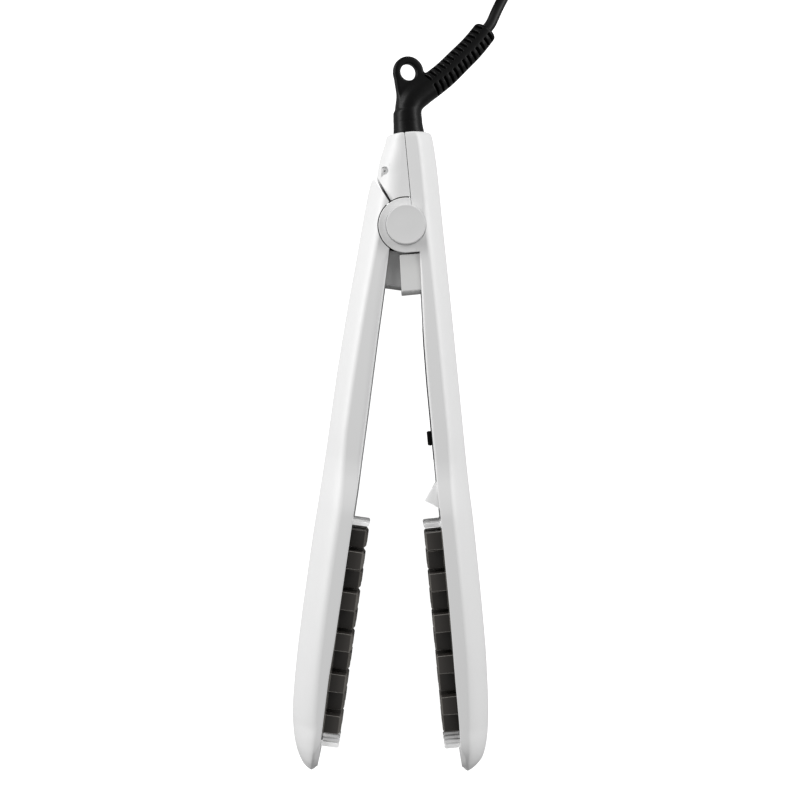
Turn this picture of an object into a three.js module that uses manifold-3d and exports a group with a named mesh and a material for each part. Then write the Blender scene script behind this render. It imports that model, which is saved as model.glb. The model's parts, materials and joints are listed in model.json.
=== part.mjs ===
// Hair crimper with two hinged arms, interlocking block plates and a swivel cord.
// Units: millimetres. The iron lies on its side: +Z runs along the hinge axis and
// points up, +Y points towards the cord end, +X points to the fixed arm's side.
//
// Each arm is drawn in its own frame. x is the distance outwards from a line
// through the hinge axis, s is the distance from the hinge axis towards the tip
// (y = -s), and z is measured from the middle plane of the arm.
import * as THREE from 'three';
import { mergeVertices } from 'three/addons/utils/BufferGeometryUtils.js';
import Module from 'manifold-3d';

const wasm = await Module();
wasm.setup();

// ---------------------------------------------------------------- dimensions
const FIXED_TILT = 5.4;        // fixed arm, degrees from -Y towards +X
const MOVING_TILT = 7.8;       // moving arm, degrees from -Y towards -X
const HINGE = [2.81, 82.22];   // hinge axis, before the origin is set
const HEAD_HALF = 20.5;        // half depth of the plate heads
const BODY_HALF = 17.2;        // half depth of handles and hinge cheeks
const WALL = 2.0;
const RIM = 1.4;               // thin rim beside the plates
const CHEEK_R = 12.96;
const CHEEK_GAP_R = 13.3;
const CHEEK_IN = 15.2;         // inner face of the hinge cheeks
const CAP_R = 9.3;
const PIN_R = 2.9;
const PIN_HOLE_R = 3.2;
const BARREL_R = 7.6;

const REAR_END = -43.6;        // rear face of the housing
const SWIVEL_X = 5.7;          // swivel axis, distance from the hinge line
const SWIVEL_HOLE_R = 6.7;
const BOOT_ROLL = 16;          // how far the boot has rolled at rest, degrees
const HANG_HOLE_R = 4.0;

const PITCH_S = 9.7;           // block pitch along the plate
const PITCH_Z = 9.6;           // block pitch across the plate
const ROWS = 10;
const COLS = 4;
const BLOCK_S = 8.6;
const BLOCK_Z = 8.2;
const BLOCK_CH = 1.4;          // chamfer round the top of a block
const FIXED_ROW1 = 149.0;
const MOVING_ROW1 = 149.3;
const PLATE_S = [144.0, 243.0];
const PLATE_HALF_Z = 18.4;
const PLATE_T = 3.2;
const FIXED_BASE = 2.5;        // face of the fixed base plate
const FIXED_TOP = -5.0;        // top of the fixed blocks
const MOVING_BASE = 5.5;
const MOVING_TOP = -1.9;
const COMB_TOP_S = [140.8, 142.8];
const COMB_END_S = [245.4, 247.4];
const TOOTH_Z = 3.9;

const CORD_D = 5.3;
const CORD_SIDES = 8;
const COIL_C = [31.6, 242.0];
const COIL_IN = 24.9;
const COIL_OUT = 41.1;
const COIL_Z = [1.3, 17.5];

// outlines of the arms: [s, x]
const FIXED_OUT = [[-43.6, 15.6], [-42.6, 16.2], [-36, 17.0], [-22, 17.5], [0, 17.6], [20, 17.8], [45, 18.0],
  [75, 18.1], [105, 18.2], [125, 18.4], [142, 18.9], [160, 19.1], [180, 19.2], [200, 19.1], [219, 18.4],
  [234, 17.4], [241.5, 16.4], [250.7, 14.2], [257, 11.4], [259.8, 8.6], [261.5, 5.0]];
const FIXED_IN = [[-43.6, 3.6], [12.6, 3.6], [12.8, 5.3], [31, 4.35], [40, 4.0], [54.6, 3.35], [75, 3.0], [122, 3.0], [140, 3.3], [180, 3.4], [215, 2.9],
  [235, 2.8], [250, 2.2], [261.5, 2.4]];
const MOVING_OUT = [[-20.2, 18.8], [-19.1, 19.3], [-10, 20.2], [0.6, 20.7], [18, 21.3], [37.6, 22.2], [57, 22.8],
  [76.5, 23.2], [105, 23.3], [130, 23.6], [154, 24.1], [183, 24.2], [202.6, 24.0], [221.8, 23.3],
  [236.2, 22.2], [239.5, 21.6], [248.2, 19.4], [255, 16.7], [259.7, 14.2], [261.9, 11.9], [263.1, 9.5]];
const MOVING_IN = [[-20.2, 6.4], [-6.5, 6.4], [34.8, 6.1], [54, 6.1], [93, 5.8], [128, 5.7],
  [140, 5.9], [159, 6.1], [178, 6.3], [197, 6.5], [216, 7.0], [235, 6.8], [254, 6.6], [263.1, 6.9]];
const REAR_OUT = [[-43.6, 5.0], [-42.6, 5.35], [-40, 6.2], [-36.1, 7.9], [-29.2, 10.4], [-24.6, 11.5], [-7.5, 15.6]];
const REAR_EDGE = [[11.45, -24.75], [3.3, -6.4]];     // slanting edge beside the moving arm's tail
const TAIL_EDGE = [[17.9, -20.7], [17.3, -19.3], [15.2, -16.7], [9.3, -9.7], [6.0, -5.9]];

// ---------------------------------------------------------------- materials
const mat = (color, roughness, metalness = 0) => new THREE.MeshStandardMaterial({ color, roughness, metalness });
const white = () => mat(0xf2f2f2, 0.35);
const paleGrey = () => mat(0xc9c9c9, 0.5);
const midGrey = () => mat(0xb4b4b2, 0.5);
const dark = () => mat(0x2a2a2b, 0.5);
const black = () => mat(0x161616, 0.65);
const ceramic = () => mat(0x2c2723, 0.3, 0.1);
const steel = () => mat(0xa8abb0, 0.35, 0.9);
const brass = () => mat(0xc9a24e, 0.35, 0.9);
const tan = () => mat(0xd8cdb8, 0.7);
const green = () => mat(0x2f6b3c, 0.6);
const redWire = () => mat(0x8c2f2a, 0.6);

// ---------------------------------------------------------------- helpers
const rad = THREE.MathUtils.degToRad;

function lerpTable(table, s) {
  if (s <= table[0][0]) return table[0][1];
  for (let i = 1; i < table.length; i++) {
    if (s <= table[i][0]) {
      const [s0, v0] = table[i - 1];
      const [s1, v1] = table[i];
      return v0 + ((v1 - v0) * (s - s0)) / (s1 - s0);
    }
  }
  return table[table.length - 1][1];
}

// Position only, with shared vertices merged and no collapsed triangles.
function clean(geometry) {
  let g = geometry.clone();
  for (const key of Object.keys(g.attributes)) if (key !== 'position') g.deleteAttribute(key);
  g = mergeVertices(g, 1e-4);
  const src = g.index.array;
  const out = [];
  for (let i = 0; i < src.length; i += 3) {
    const [a, b, c] = [src[i], src[i + 1], src[i + 2]];
    if (a !== b && b !== c && c !== a) out.push(a, b, c);
  }
  g.setIndex(out);
  g.userData.clean = true;
  return g;
}

function toSolid(geometry) {
  const g = geometry.userData.clean ? geometry : clean(geometry);
  return new wasm.Manifold(new wasm.Mesh({
    numProp: 3,
    vertProperties: new Float32Array(g.attributes.position.array),
    triVerts: new Uint32Array(g.index.array),
  }));
}

function toGeometry(solid) {
  const m = solid.getMesh();
  const g = new THREE.BufferGeometry();
  g.setAttribute('position', new THREE.BufferAttribute(new Float32Array(m.vertProperties), 3));
  g.setIndex(new THREE.BufferAttribute(new Uint32Array(m.triVerts), 1));
  g.userData.clean = true;
  return g;
}

const join = (...gs) => toGeometry(gs.map(toSolid).reduce((a, b) => a.add(b)));
const cut = (g, ...gs) => toGeometry(gs.map(toSolid).reduce((a, b) => a.subtract(b), toSolid(g)));

function flip(g) {
  const idx = g.index.array;
  for (let i = 0; i < idx.length; i += 3) {
    const k = idx[i];
    idx[i] = idx[i + 1];
    idx[i + 1] = k;
  }
  return g;
}

function mirrorX(geometry) {
  const g = geometry.userData.clean ? geometry.clone() : clean(geometry);
  const p = g.attributes.position;
  for (let i = 0; i < p.count; i++) p.setX(i, -p.getX(i));
  return flip(g);
}

function signedVolume(pos, idx) {
  let v = 0;
  for (let i = 0; i < idx.length; i += 3) {
    const [a, b, c] = [idx[i] * 3, idx[i + 1] * 3, idx[i + 2] * 3];
    v += pos[a] * (pos[b + 1] * pos[c + 2] - pos[b + 2] * pos[c + 1])
      + pos[a + 1] * (pos[b + 2] * pos[c] - pos[b] * pos[c + 2])
      + pos[a + 2] * (pos[b] * pos[c + 1] - pos[b + 1] * pos[c]);
  }
  return v;
}

// A closed body through rings with the same number of points; the two end rings are convex.
function loft(rings) {
  const n = rings[0].length;
  const pos = [];
  const idx = [];
  for (const ring of rings) for (const p of ring) pos.push(p[0], p[1], p[2]);
  for (let k = 0; k < rings.length - 1; k++) {
    for (let i = 0; i < n; i++) {
      const a = k * n + i;
      const b = k * n + ((i + 1) % n);
      idx.push(a, b, b + n, a, b + n, a + n);
    }
  }
  const last = (rings.length - 1) * n;
  for (let i = 1; i < n - 1; i++) {
    idx.push(0, i + 1, i);
    idx.push(last, last + i, last + i + 1);
  }
  const g = new THREE.BufferGeometry();
  g.setAttribute('position', new THREE.Float32BufferAttribute(pos, 3));
  g.setIndex(idx);
  return signedVolume(pos, idx) < 0 ? flip(g) : g;
}

// Housing section: flat sides, a small chamfer at the open inner edge, and a wide
// elliptical rounding on the outer side.
const ARC = 5;
function section(s, a, b, h, rx, rz, c) {
  const y = -s;
  const ring = [[a, y, -(h - c)], [a + c, y, -h]];
  for (let i = 0; i <= ARC; i++) {
    const t = (i / ARC) * Math.PI / 2;
    ring.push([b - rx + rx * Math.sin(t), y, -(h - rz) - rz * Math.cos(t)]);
  }
  for (let i = ARC; i >= 0; i--) {
    const t = (i / ARC) * Math.PI / 2;
    ring.push([b - rx + rx * Math.sin(t), y, h - rz + rz * Math.cos(t)]);
  }
  ring.push([a + c, y, h], [a, y, h - c]);
  return ring;
}

// Prism from [x, s] points between two z levels.
function prism(points, z0, z1) {
  const shape = new THREE.Shape(points.map(([x, s]) => new THREE.Vector2(x, -s)));
  const g = new THREE.ExtrudeGeometry(shape, { depth: z1 - z0, bevelEnabled: false, steps: 1 });
  return g.translate(0, 0, z0);
}

function block(x0, x1, s0, s1, z0, z1) {
  return new THREE.BoxGeometry(x1 - x0, s1 - s0, z1 - z0)
    .translate((x0 + x1) / 2, -(s0 + s1) / 2, (z0 + z1) / 2);
}

// Cylinders along z, along s and along x, in arm coordinates.
function cylZ(x, s, r, z0, z1, n = 32) {
  return clean(new THREE.CylinderGeometry(r, r, z1 - z0, n)).rotateX(Math.PI / 2).translate(x, -s, (z0 + z1) / 2);
}
function cylS(x, z, r, s0, s1, n = 32) {
  return clean(new THREE.CylinderGeometry(r, r, s1 - s0, n)).translate(x, -(s0 + s1) / 2, z);
}
function cylX(s, z, r, x0, x1, n = 16) {
  return clean(new THREE.CylinderGeometry(r, r, x1 - x0, n)).rotateZ(Math.PI / 2).translate((x0 + x1) / 2, -s, z);
}

function ringZ(r0, r1, z0, z1, n = 32) {
  const g = new THREE.LatheGeometry([
    new THREE.Vector2(r0, z0), new THREE.Vector2(r1, z0), new THREE.Vector2(r1, z1),
    new THREE.Vector2(r0, z1), new THREE.Vector2(r0, z0)], n);
  return g.rotateX(Math.PI / 2);
}

// Round section swept along a curve.
function sweep(points, r, sides, steps, curve = new THREE.CatmullRomCurve3(points.map((p) => new THREE.Vector3(...p)), false, 'centripetal')) {
  const shape = new THREE.Shape();
  for (let i = 0; i < sides; i++) {
    const t = (i / sides) * 2 * Math.PI;
    if (i) shape.lineTo(r * Math.cos(t), r * Math.sin(t));
    else shape.moveTo(r * Math.cos(t), r * Math.sin(t));
  }
  shape.closePath();
  return new THREE.ExtrudeGeometry(shape, { steps, bevelEnabled: false, extrudePath: curve });
}

// Pan-head screw along -z from its head, head top at z = 0.
function screw(headR, headH, shankR, length) {
  return new THREE.LatheGeometry([
    new THREE.Vector2(0, -length), new THREE.Vector2(shankR, -length + 0.8), new THREE.Vector2(shankR, -headH),
    new THREE.Vector2(headR, -headH), new THREE.Vector2(headR, -headH * 0.45), new THREE.Vector2(headR * 0.75, 0),
    new THREE.Vector2(0, 0)], 14).rotateX(Math.PI / 2);
}

// ---------------------------------------------------------------- scene graph
const model = new THREE.Group();
const body = new THREE.Group();
body.position.z = HEAD_HALF;
model.add(body);
const fixedArm = new THREE.Group();
fixedArm.position.set(HINGE[0], HINGE[1], 0);
fixedArm.rotation.z = rad(FIXED_TILT);
body.add(fixedArm);
const movingArm = new THREE.Group();
movingArm.position.set(HINGE[0], HINGE[1], 0);
movingArm.rotation.z = -rad(MOVING_TILT);
body.add(movingArm);
const cords = new THREE.Group();
model.add(cords);

const cordNodes = new Set();
function add(group, name, geometry, material) {
  const g = group === movingArm ? mirrorX(geometry) : geometry;
  g.computeVertexNormals();
  const mesh = new THREE.Mesh(g, material);
  mesh.name = name;
  group.add(mesh);
  if (group === cords) cordNodes.add(name);
  return mesh;
}

// ---------------------------------------------------------------- housings
const lerp = THREE.MathUtils.lerp;
const depthTo = (tip) => [[-43.6, 16.8], [-42.8, BODY_HALF], [112, BODY_HALF],
  [119, 17.7], [126, 18.9], [132, 19.9], [138, HEAD_HALF], [244, HEAD_HALF], [tip - 12.5, 20.0], [tip - 9.1, 18.8],
  [tip - 6.1, 16.9], [tip - 3.4, 13.4], [tip - 1.3, 9.2], [tip, 5.5]];
const handleDepth = depthTo(261.5);
const movingDepth = [[-20.2, 17.0], [-19.1, BODY_HALF], ...depthTo(263.1).slice(2)];
const roundX = [[-43.6, 7.6], [-20, 8.2], [100, 8.6], [138, 11.0], [240, 11.0], [262, 6.0]];
const roundZ = [[-43.6, 10.2], [-30, 11.2], [100, 12.0], [138, 15.0], [240, 15.0], [258, 12.0], [263.1, 7.5]];
const edgeChamfer = [[14, 0.3], [24, 1.5], [112, 1.5], [126, 0.5], [250, 0.5], [258, 1.2], [263, 1.2]];

function housing(out, inn, depth, stations, s1) {
  const outer = loft(stations.map((s) => {
    const a = lerpTable(inn, s);
    const b = lerpTable(out, s);
    const h = lerpTable(depth, s);
    const c = Math.min(lerpTable(edgeChamfer, s), (b - a) * 0.2);
    return section(s, a, b, h, Math.min(lerpTable(roundX, s), (b - a - c) * 0.9), Math.min(lerpTable(roundZ, s), h - 1.2), c);
  }));
  const wallZ = (s) => lerp(WALL, RIM, THREE.MathUtils.clamp((s - 118) / 16, 0, 1));
  const hollow = (list, lift, inset = 0) => loft(list.map((s) => {
    const a = lerpTable(inn, s) + lift;
    const b = lerpTable(out, s) - WALL - inset;
    const h = lerpTable(depth, s) - wallZ(s) - inset;
    return section(s, a, b, h, Math.min(lerpTable(roundX, s) - 2.6, (b - a) * 0.8), Math.min(lerpTable(roundZ, s) - 3.0, h - 1), 0.2);
  }));
  const inside = stations.filter((s) => s > stations[0] + 2.4 && s < 247);
  const main = hollow([stations[0] + 2.2, ...inside, 247.9], -3);
  const tip = hollow([245.6, 250, 254, s1], 2.2, 0.5);
  return { outer, main, tip };
}

const stations = [-43.6, -42.6, -40, -36, -29, -22, -12, 0, 12.6, 12.8, 20, 34, 54, 75, 100, 112, 119, 126, 132, 138,
  150, 166, 183, 200, 216, 230, 239.5, 245, 249, 252.4, 255.4, 258.1, 260.2, 261.5];
const fixedHousing = housing(FIXED_OUT, FIXED_IN, handleDepth, stations, 257.5);
const cheek = (z0, z1) => join(
  cylZ(0, 0, CHEEK_R, z0, z1, 48),
  block(-1.1, 6, 0, 12.7, z0, z1),
);
const coverPosts = [44, 117];
const posts = (out, s, x0) => cylX(s, 0, 3.0, x0, lerpTable(out, s) - WALL + 0.6);

let shell = join(
  cut(fixedHousing.outer, fixedHousing.main, fixedHousing.tip),
  cheek(CHEEK_IN, BODY_HALF), cheek(-BODY_HALF, -CHEEK_IN),
  ...coverPosts.map((s) => posts(FIXED_OUT, s, 6.0)),
);
shell = cut(shell, cylZ(0, 0, PIN_HOLE_R, -20, 20, 24), cylS(SWIVEL_X, 0, SWIVEL_HOLE_R, -46, -38, 32),
  ...coverPosts.map((s) => cylX(s, 0, 1.3, 4, 14)));
add(fixedArm, 'fixed_outer_shell', shell, white());

const movingStations = [-20.2, -19.1, -10, 0, 10, 20, 34.8, 54, 75, 100, 112, 119, 126, 132, 138,
  150, 166, 183, 200, 216, 230, 239.5, 245, 250.6, 254, 257, 259.7, 261.8, 263.1];
const movingHousing = housing(MOVING_OUT, MOVING_IN, movingDepth, movingStations, 258.5);
let movingShell = join(
  cut(movingHousing.outer, movingHousing.main, movingHousing.tip),
  ...coverPosts.map((s) => posts(MOVING_OUT, s, 8.3)),
);
movingShell = cut(movingShell, prism([...TAIL_EDGE, [-4, -5.9], [-4, -26], [17.9, -26]], -24, 24), cylZ(0, 0, CHEEK_GAP_R, -20, 20, 48),
  ...coverPosts.map((s) => cylX(s, 0, 1.3, 6, 17)));
add(movingArm, 'moving_outer_shell', movingShell, white());

// Rear cover: the left half of the rear housing, drawn outwards to -x.
const rearRoundX = [[-43.6, 6.4], [-36, 8.4], [-25, 10.4], [-7, 11.4]];
const rearRoundZ = [[-43.6, 7.0], [-25, 8.0], [-7, 8.6]];
const besideEdge = (off) => {
  const [[x0, s0], [x1, s1]] = REAR_EDGE;
  const l = Math.hypot(x1 - x0, s1 - s0);
  const n = [(s0 - s1) / -l, (x0 - x1) / l];          // away from the cover
  const d = [(x0 - x1) / l, (s0 - s1) / l];
  const a = [x0 - n[0] * off, s0 - n[1] * off];
  const b = [x1 - n[0] * off, s1 - n[1] * off];
  return [[b[0] - d[0] * 6, b[1] - d[1] * 6], [a[0], a[1]], [a[0] + 30, a[1]], [a[0] + 30, b[1] + 12], [b[0] - d[0] * 6 + 1, b[1] + 12]];
};
const rearSection = (s, a, b, h, lift) => section(s, a, b, h, Math.min(lerpTable(rearRoundX, s) - lift, (b - a) * 0.8),
  lerpTable(rearRoundZ, s) - lift, 0.2);
const rearStations = [-43.6, -42.6, -40, -36.1, -29.2, -24.6, -16, -7.5];
const rearOuter = mirrorX(cut(loft(rearStations.map((s) => rearSection(s, -3.3, lerpTable(REAR_OUT, s), lerpTable(handleDepth, s), 0))), prism(besideEdge(0), -24, 24)));
const rearInner = mirrorX(cut(loft([-41.4, -40, -36.1, -29.2, -24.6, -16, -5].map((s) => rearSection(s, -6.5,
  lerpTable(REAR_OUT, s) - 1.6, lerpTable(handleDepth, s) - WALL, 1.5))), prism(besideEdge(1.6), -24, 24)));
let rearCover = join(cut(rearOuter, rearInner), cylZ(-7.2, -26.6, 3.3, 9.6, 15.9, 20));
rearCover = toGeometry(toSolid(rearCover).intersect(toSolid(rearOuter)));
rearCover = cut(rearCover, cylZ(0, 0, CHEEK_GAP_R, -20, 20, 48), cylS(SWIVEL_X, 0, SWIVEL_HOLE_R, -46, -38, 32),
  cylZ(-7.2, -26.6, 2.3, 12.9, 20, 20), cylZ(-7.2, -26.6, 1.3, 8, 20, 16));
add(fixedArm, 'rear_cover', rearCover, white());
const rearScrew = add(fixedArm, 'rear_cover_screw', screw(2.0, 1.1, 1.0, 8.0), steel());
rearScrew.position.set(-7.2, 26.6, 14.2);

// ---------------------------------------------------------------- hinge
add(fixedArm, 'hinge_pin', cylZ(0, 0, PIN_R, -16.9, 16.9, 24), steel());
const capProfile = [[0, 0], [CAP_R - 0.3, 0], [CAP_R, 0.3], [CAP_R, 2.1], [CAP_R - 0.9, 3.0], [0, 3.0]];
const cap = () => new THREE.LatheGeometry(capProfile.map(([r, z]) => new THREE.Vector2(r, z)), 40).rotateX(Math.PI / 2);
add(fixedArm, 'hinge_cap_near', cap().translate(0, 0, 17.5), paleGrey());
add(fixedArm, 'hinge_cap_far', cap().rotateX(Math.PI).translate(0, 0, -17.5), paleGrey());
add(fixedArm, 'hinge_washer_near', ringZ(3.3, 6.4, 14.6, 15.0, 24), steel());
add(fixedArm, 'hinge_washer_far', ringZ(3.3, 6.4, -15.0, -14.6, 24), steel());

const knuckle = cut(
  join(cylZ(0, 0, BARREL_R, -14.3, 14.3, 32),
    prism([[0, -6.5], [15.9, -9.5], [17.2, 11], [6, 11], [0, 6.5]], -12.2, 12.2)),
  cylZ(0, 0, PIN_R + 0.3, -20, 20, 24),
  block(9.5, 15.2, -5, 8, -9, 20),
);
add(movingArm, 'moving_hinge_knuckle', knuckle, midGrey());

// Nested guards that keep fingers and hair out of the gap beside the hinge.
const fixedGuard = cut(join(block(-4.6, 4.25, 13.4, 31.0, -16.2, 16.2), block(3.0, 5.5, 13.4, 31.0, -13.6, 13.6)),
  block(-10, 3.7, 10, 29.6, -14.8, 14.8), block(2.0, 4.1, 10, 29.6, -12.2, 12.2));
add(fixedArm, 'fixed_hinge_guard', fixedGuard, midGrey());
const movingGuard = cut(block(-3.4, 7.5, 12.6, 28.9, -14.2, 14.2), block(-10, 6.1, 10, 27.7, -12.9, 12.9));
add(movingArm, 'moving_hinge_guard', movingGuard, dark());

// Opening spring between the two guards.
class Helix extends THREE.Curve {
  constructor(length, r, turns) {
    super();
    Object.assign(this, { length, r, turns });
  }
  getPoint(t, target = new THREE.Vector3()) {
    const a = t * this.turns * 2 * Math.PI;
    return target.set(this.length * (t - 0.5), this.r * Math.cos(a), this.r * Math.sin(a));
  }
}
const springAxis = { from: [3.0, 21.9], to: [-10.0, 20.9] };
const springLength = Math.hypot(springAxis.to[0] - springAxis.from[0], springAxis.to[1] - springAxis.from[1]);
const spring = add(fixedArm, 'opening_spring', sweep(null, 0.55, 6, 66, new Helix(springLength, 4.2, 6)), steel());
spring.position.set((springAxis.from[0] + springAxis.to[0]) / 2, -(springAxis.from[1] + springAxis.to[1]) / 2, 0);
spring.rotation.z = Math.atan2(-(springAxis.from[1] - springAxis.to[1]), springAxis.from[0] - springAxis.to[0]);

// ---------------------------------------------------------------- inner covers
function innerCover(inn, s0, s1, half) {
  const list = [s0, 54, 75, 93, 112, 122, s1];
  const near = list.map((s) => [lerpTable(inn, s) + 0.25, s]);
  const far = [...list].reverse().map((s) => [lerpTable(inn, s) + 2.05, s]);
  return prism([...near, ...far], -half, half);
}
const SWITCH_S = 101.2;
const coverFace = (inn, s) => lerpTable(inn, s) + 0.25;
let fixedCover = join(innerCover(FIXED_IN, 33.5, 139.6, 14.8), prism([[4.2, 120.6], [-3.2, 129.9], [4.2, 135.4]], -14.8, 14.8));
fixedCover = cut(fixedCover, block(1, 9, 94.0, 108.4, -3.2, 3.2),
  ...coverPosts.flatMap((s) => [cylX(s, 0, 1.3, 0, 9), cylX(s, 0, 2.5, 0, coverFace(FIXED_IN, s) + 1.1)]));
add(fixedArm, 'fixed_inner_cover', fixedCover, white());
let movingCover = innerCover(MOVING_IN, 33.5, 139.6, 14.8);
movingCover = cut(movingCover, ...coverPosts.flatMap((s) => [cylX(s, 0, 1.3, 0, 12),
  cylX(s, 0, 2.5, 0, coverFace(MOVING_IN, s) + 1.1)]));
add(movingArm, 'moving_inner_cover', movingCover, white());

coverPosts.forEach((s, i) => {
  const m = add(fixedArm, `fixed_cover_screw_${i + 1}`, screw(2.1, 0.8, 1.0, 8), steel());
  m.rotation.y = -Math.PI / 2;
  m.position.set(coverFace(FIXED_IN, s) + 0.1, -s, 0);
  const k = add(movingArm, `moving_cover_screw_${i + 1}`, screw(2.1, 0.8, 1.0, 8), steel());
  k.rotation.y = Math.PI / 2;
  k.position.set(-coverFace(MOVING_IN, s) - 0.1, -s, 0);
});

// Dark control strip with the slide switch.
const strip = cut(
  prism([...[54, 75, 93, 112].map((s) => [lerpTable(FIXED_IN, s) - 0.4, s]),
    ...[112, 93, 75, 54].map((s) => [lerpTable(FIXED_IN, s) + 0.15, s])], -10, 10),
  block(0, 6, 94.0, 108.4, -3.2, 3.2),
);
add(fixedArm, 'control_strip', strip, dark());
add(fixedArm, 'slide_switch_cap', join(
  block(0.7, 6.0, SWITCH_S - 3.4, SWITCH_S + 3.4, -2.8, 2.8),
  block(1.6, 2.0, SWITCH_S - 3.6, SWITCH_S + 3.6, -2.9, 2.9),
), black());
add(fixedArm, 'slide_switch_body', block(6.4, 9.6, 92.0, 110.4, -4, 4), dark());
add(fixedArm, 'control_board', cut(block(9.9, 11.5, 52, 113, -11.5, 11.5), cylX(60, 6, 1.2, 9, 13, 12)), green());
add(fixedArm, 'board_capacitor', cylS(13.8, 1, 1.9, 76, 86, 18), dark());
add(fixedArm, 'power_transistor', block(8.2, 9.6, 64, 70, -7, -1), dark());

// ---------------------------------------------------------------- plates
function frustum(s, z, hs, hz, x0, x1, x2, ch) {
  const r = (x, a, b) => [[x, -s - a, z - b], [x, -s + a, z - b], [x, -s + a, z + b], [x, -s - a, z + b]];
  return loft([r(x0, hs, hz), r(x1, hs, hz), r(x2, hs - ch, hz - ch)]);
}

function gridPlate(base, top, row1, parity) {
  const blocks = [];
  for (let i = 0; i < ROWS; i++) {
    for (let j = 0; j < COLS; j++) {
      if ((i + j) % 2 !== parity) continue;
      blocks.push(frustum(row1 + i * PITCH_S, (COLS / 2 - 0.5 - j) * PITCH_Z, BLOCK_S / 2, BLOCK_Z / 2,
        base + 0.5, top + BLOCK_CH, top, BLOCK_CH));
    }
  }
  return join(block(base, base + PLATE_T, PLATE_S[0], PLATE_S[1], -PLATE_HALF_Z, PLATE_HALF_Z), ...blocks);
}

function comb(base, top, [s0, s1], firstTooth) {
  const parts = [block(base + 0.4, base + 2.8, s0 - 0.5, s1 + 0.5, -18.2, 18.2)];
  for (let j = 0; j < COLS; j++) {
    const z = firstTooth - j * PITCH_Z;
    parts.push(prism([[base + 1, s0], [top + 0.6, s0], [top, s0 + 0.6], [top, s1 - 0.6], [top + 0.6, s1], [base + 1, s1]],
      z - TOOTH_Z / 2, z + TOOTH_Z / 2));
  }
  return join(...parts);
}

function plateStack(group, side, base, top, row1, parity, firstTooth, out) {
  add(group, `${side}_grid_plate`, gridPlate(base, top, row1, parity), ceramic());
  const x = base + PLATE_T;
  add(group, `${side}_heater`, block(x + 0.3, x + 3.3, 162, 226, -9, 9), tan());
  add(group, `${side}_thermal_fuse`, cylS(x + 1.9, 4, 1.4, 151, 159.5, 14), steel());
  add(group, `${side}_plate_carrier`, prism([[x + 0.3, 146.5], [x + 5.0, 146.5], [x + 5.0, 240.5], [x + 0.3, 240.5],
    [x + 0.3, 238.5], [x + 3.6, 238.5], [x + 3.6, 148.5], [x + 0.3, 148.5]], -11, 11), tan());
  const floor = lerpTable(out, 193) - WALL;
  const n = 12;
  const low = [];
  const high = [];
  for (let i = 0; i <= n; i++) {
    const s = 168 + (50 * i) / n;
    const lift = (floor - x - 5.0 - 1.1) * Math.sin((Math.PI * i) / n);
    low.push([x + 5.3 + lift, s]);
    high.push([x + 5.8 + lift, s]);
  }
  add(group, `${side}_plate_spring`, prism([...low, ...high.reverse()], -6, 6), steel());
  add(group, `${side}_comb_top`, comb(base, top, COMB_TOP_S, firstTooth), paleGrey());
  add(group, `${side}_comb_end`, comb(base, top, COMB_END_S, firstTooth), paleGrey());
}
plateStack(fixedArm, 'fixed', FIXED_BASE, FIXED_TOP, FIXED_ROW1, 0, 12.0, FIXED_OUT);
plateStack(movingArm, 'moving', MOVING_BASE, MOVING_TOP, MOVING_ROW1, 1, 16.8, MOVING_OUT);

// ---------------------------------------------------------------- leads inside the arms
add(fixedArm, 'supply_lead', sweep([[5.7, 24.4, 0], [8.5, 18, 0], [12.2, 8, 0], [12.6, -10, 0], [12.4, -34, 6], [12.6, -48, 7]], 1.3, 8, 18), dark());
add(fixedArm, 'fixed_heater_lead', sweep([[13.2, -70, 8], [13.5, -95, 7.5], [13.4, -116, 7], [11.4, -131, 7], [9.8, -144, 7]], 1.3, 8, 14), redWire());
add(movingArm, 'moving_heater_lead', sweep([[13.2, -12.8, 2], [15.5, -30, 6.5], [16.5, -60, 7], [16.5, -100, 7], [14.5, -125, 7], [12.5, -145, 7]], 1.3, 8, 20), redWire());

// ---------------------------------------------------------------- swivel and boot
const retainer = cut(
  prism([[-3.5, -38.0], [12.8, -38.0], [12.8, -24.6], [-8.9, -24.6], [-8.2, -29.3], [-3.5, -34]], -9.3, 9.3),
  cylS(SWIVEL_X, 0, 6.0, -40, -20, 24),
  cylZ(-7.2, -26.6, 1.3, 5, 20, 16),
);
add(fixedArm, 'swivel_retainer', retainer, midGrey());
add(fixedArm, 'swivel_washer', cut(cylS(SWIVEL_X, 0, 8.8, -38.85, -38.3, 28), cylS(SWIVEL_X, 0, 6.1, -40, -37, 28)), steel());

const boot = new THREE.Group();
boot.position.set(SWIVEL_X, -REAR_END, 0);
boot.rotation.y = rad(BOOT_ROLL);
fixedArm.add(boot);
const lathe = (pts, n = 32) => clean(new THREE.LatheGeometry(pts.map(([r, y]) => new THREE.Vector2(r, y)), n));
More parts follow.
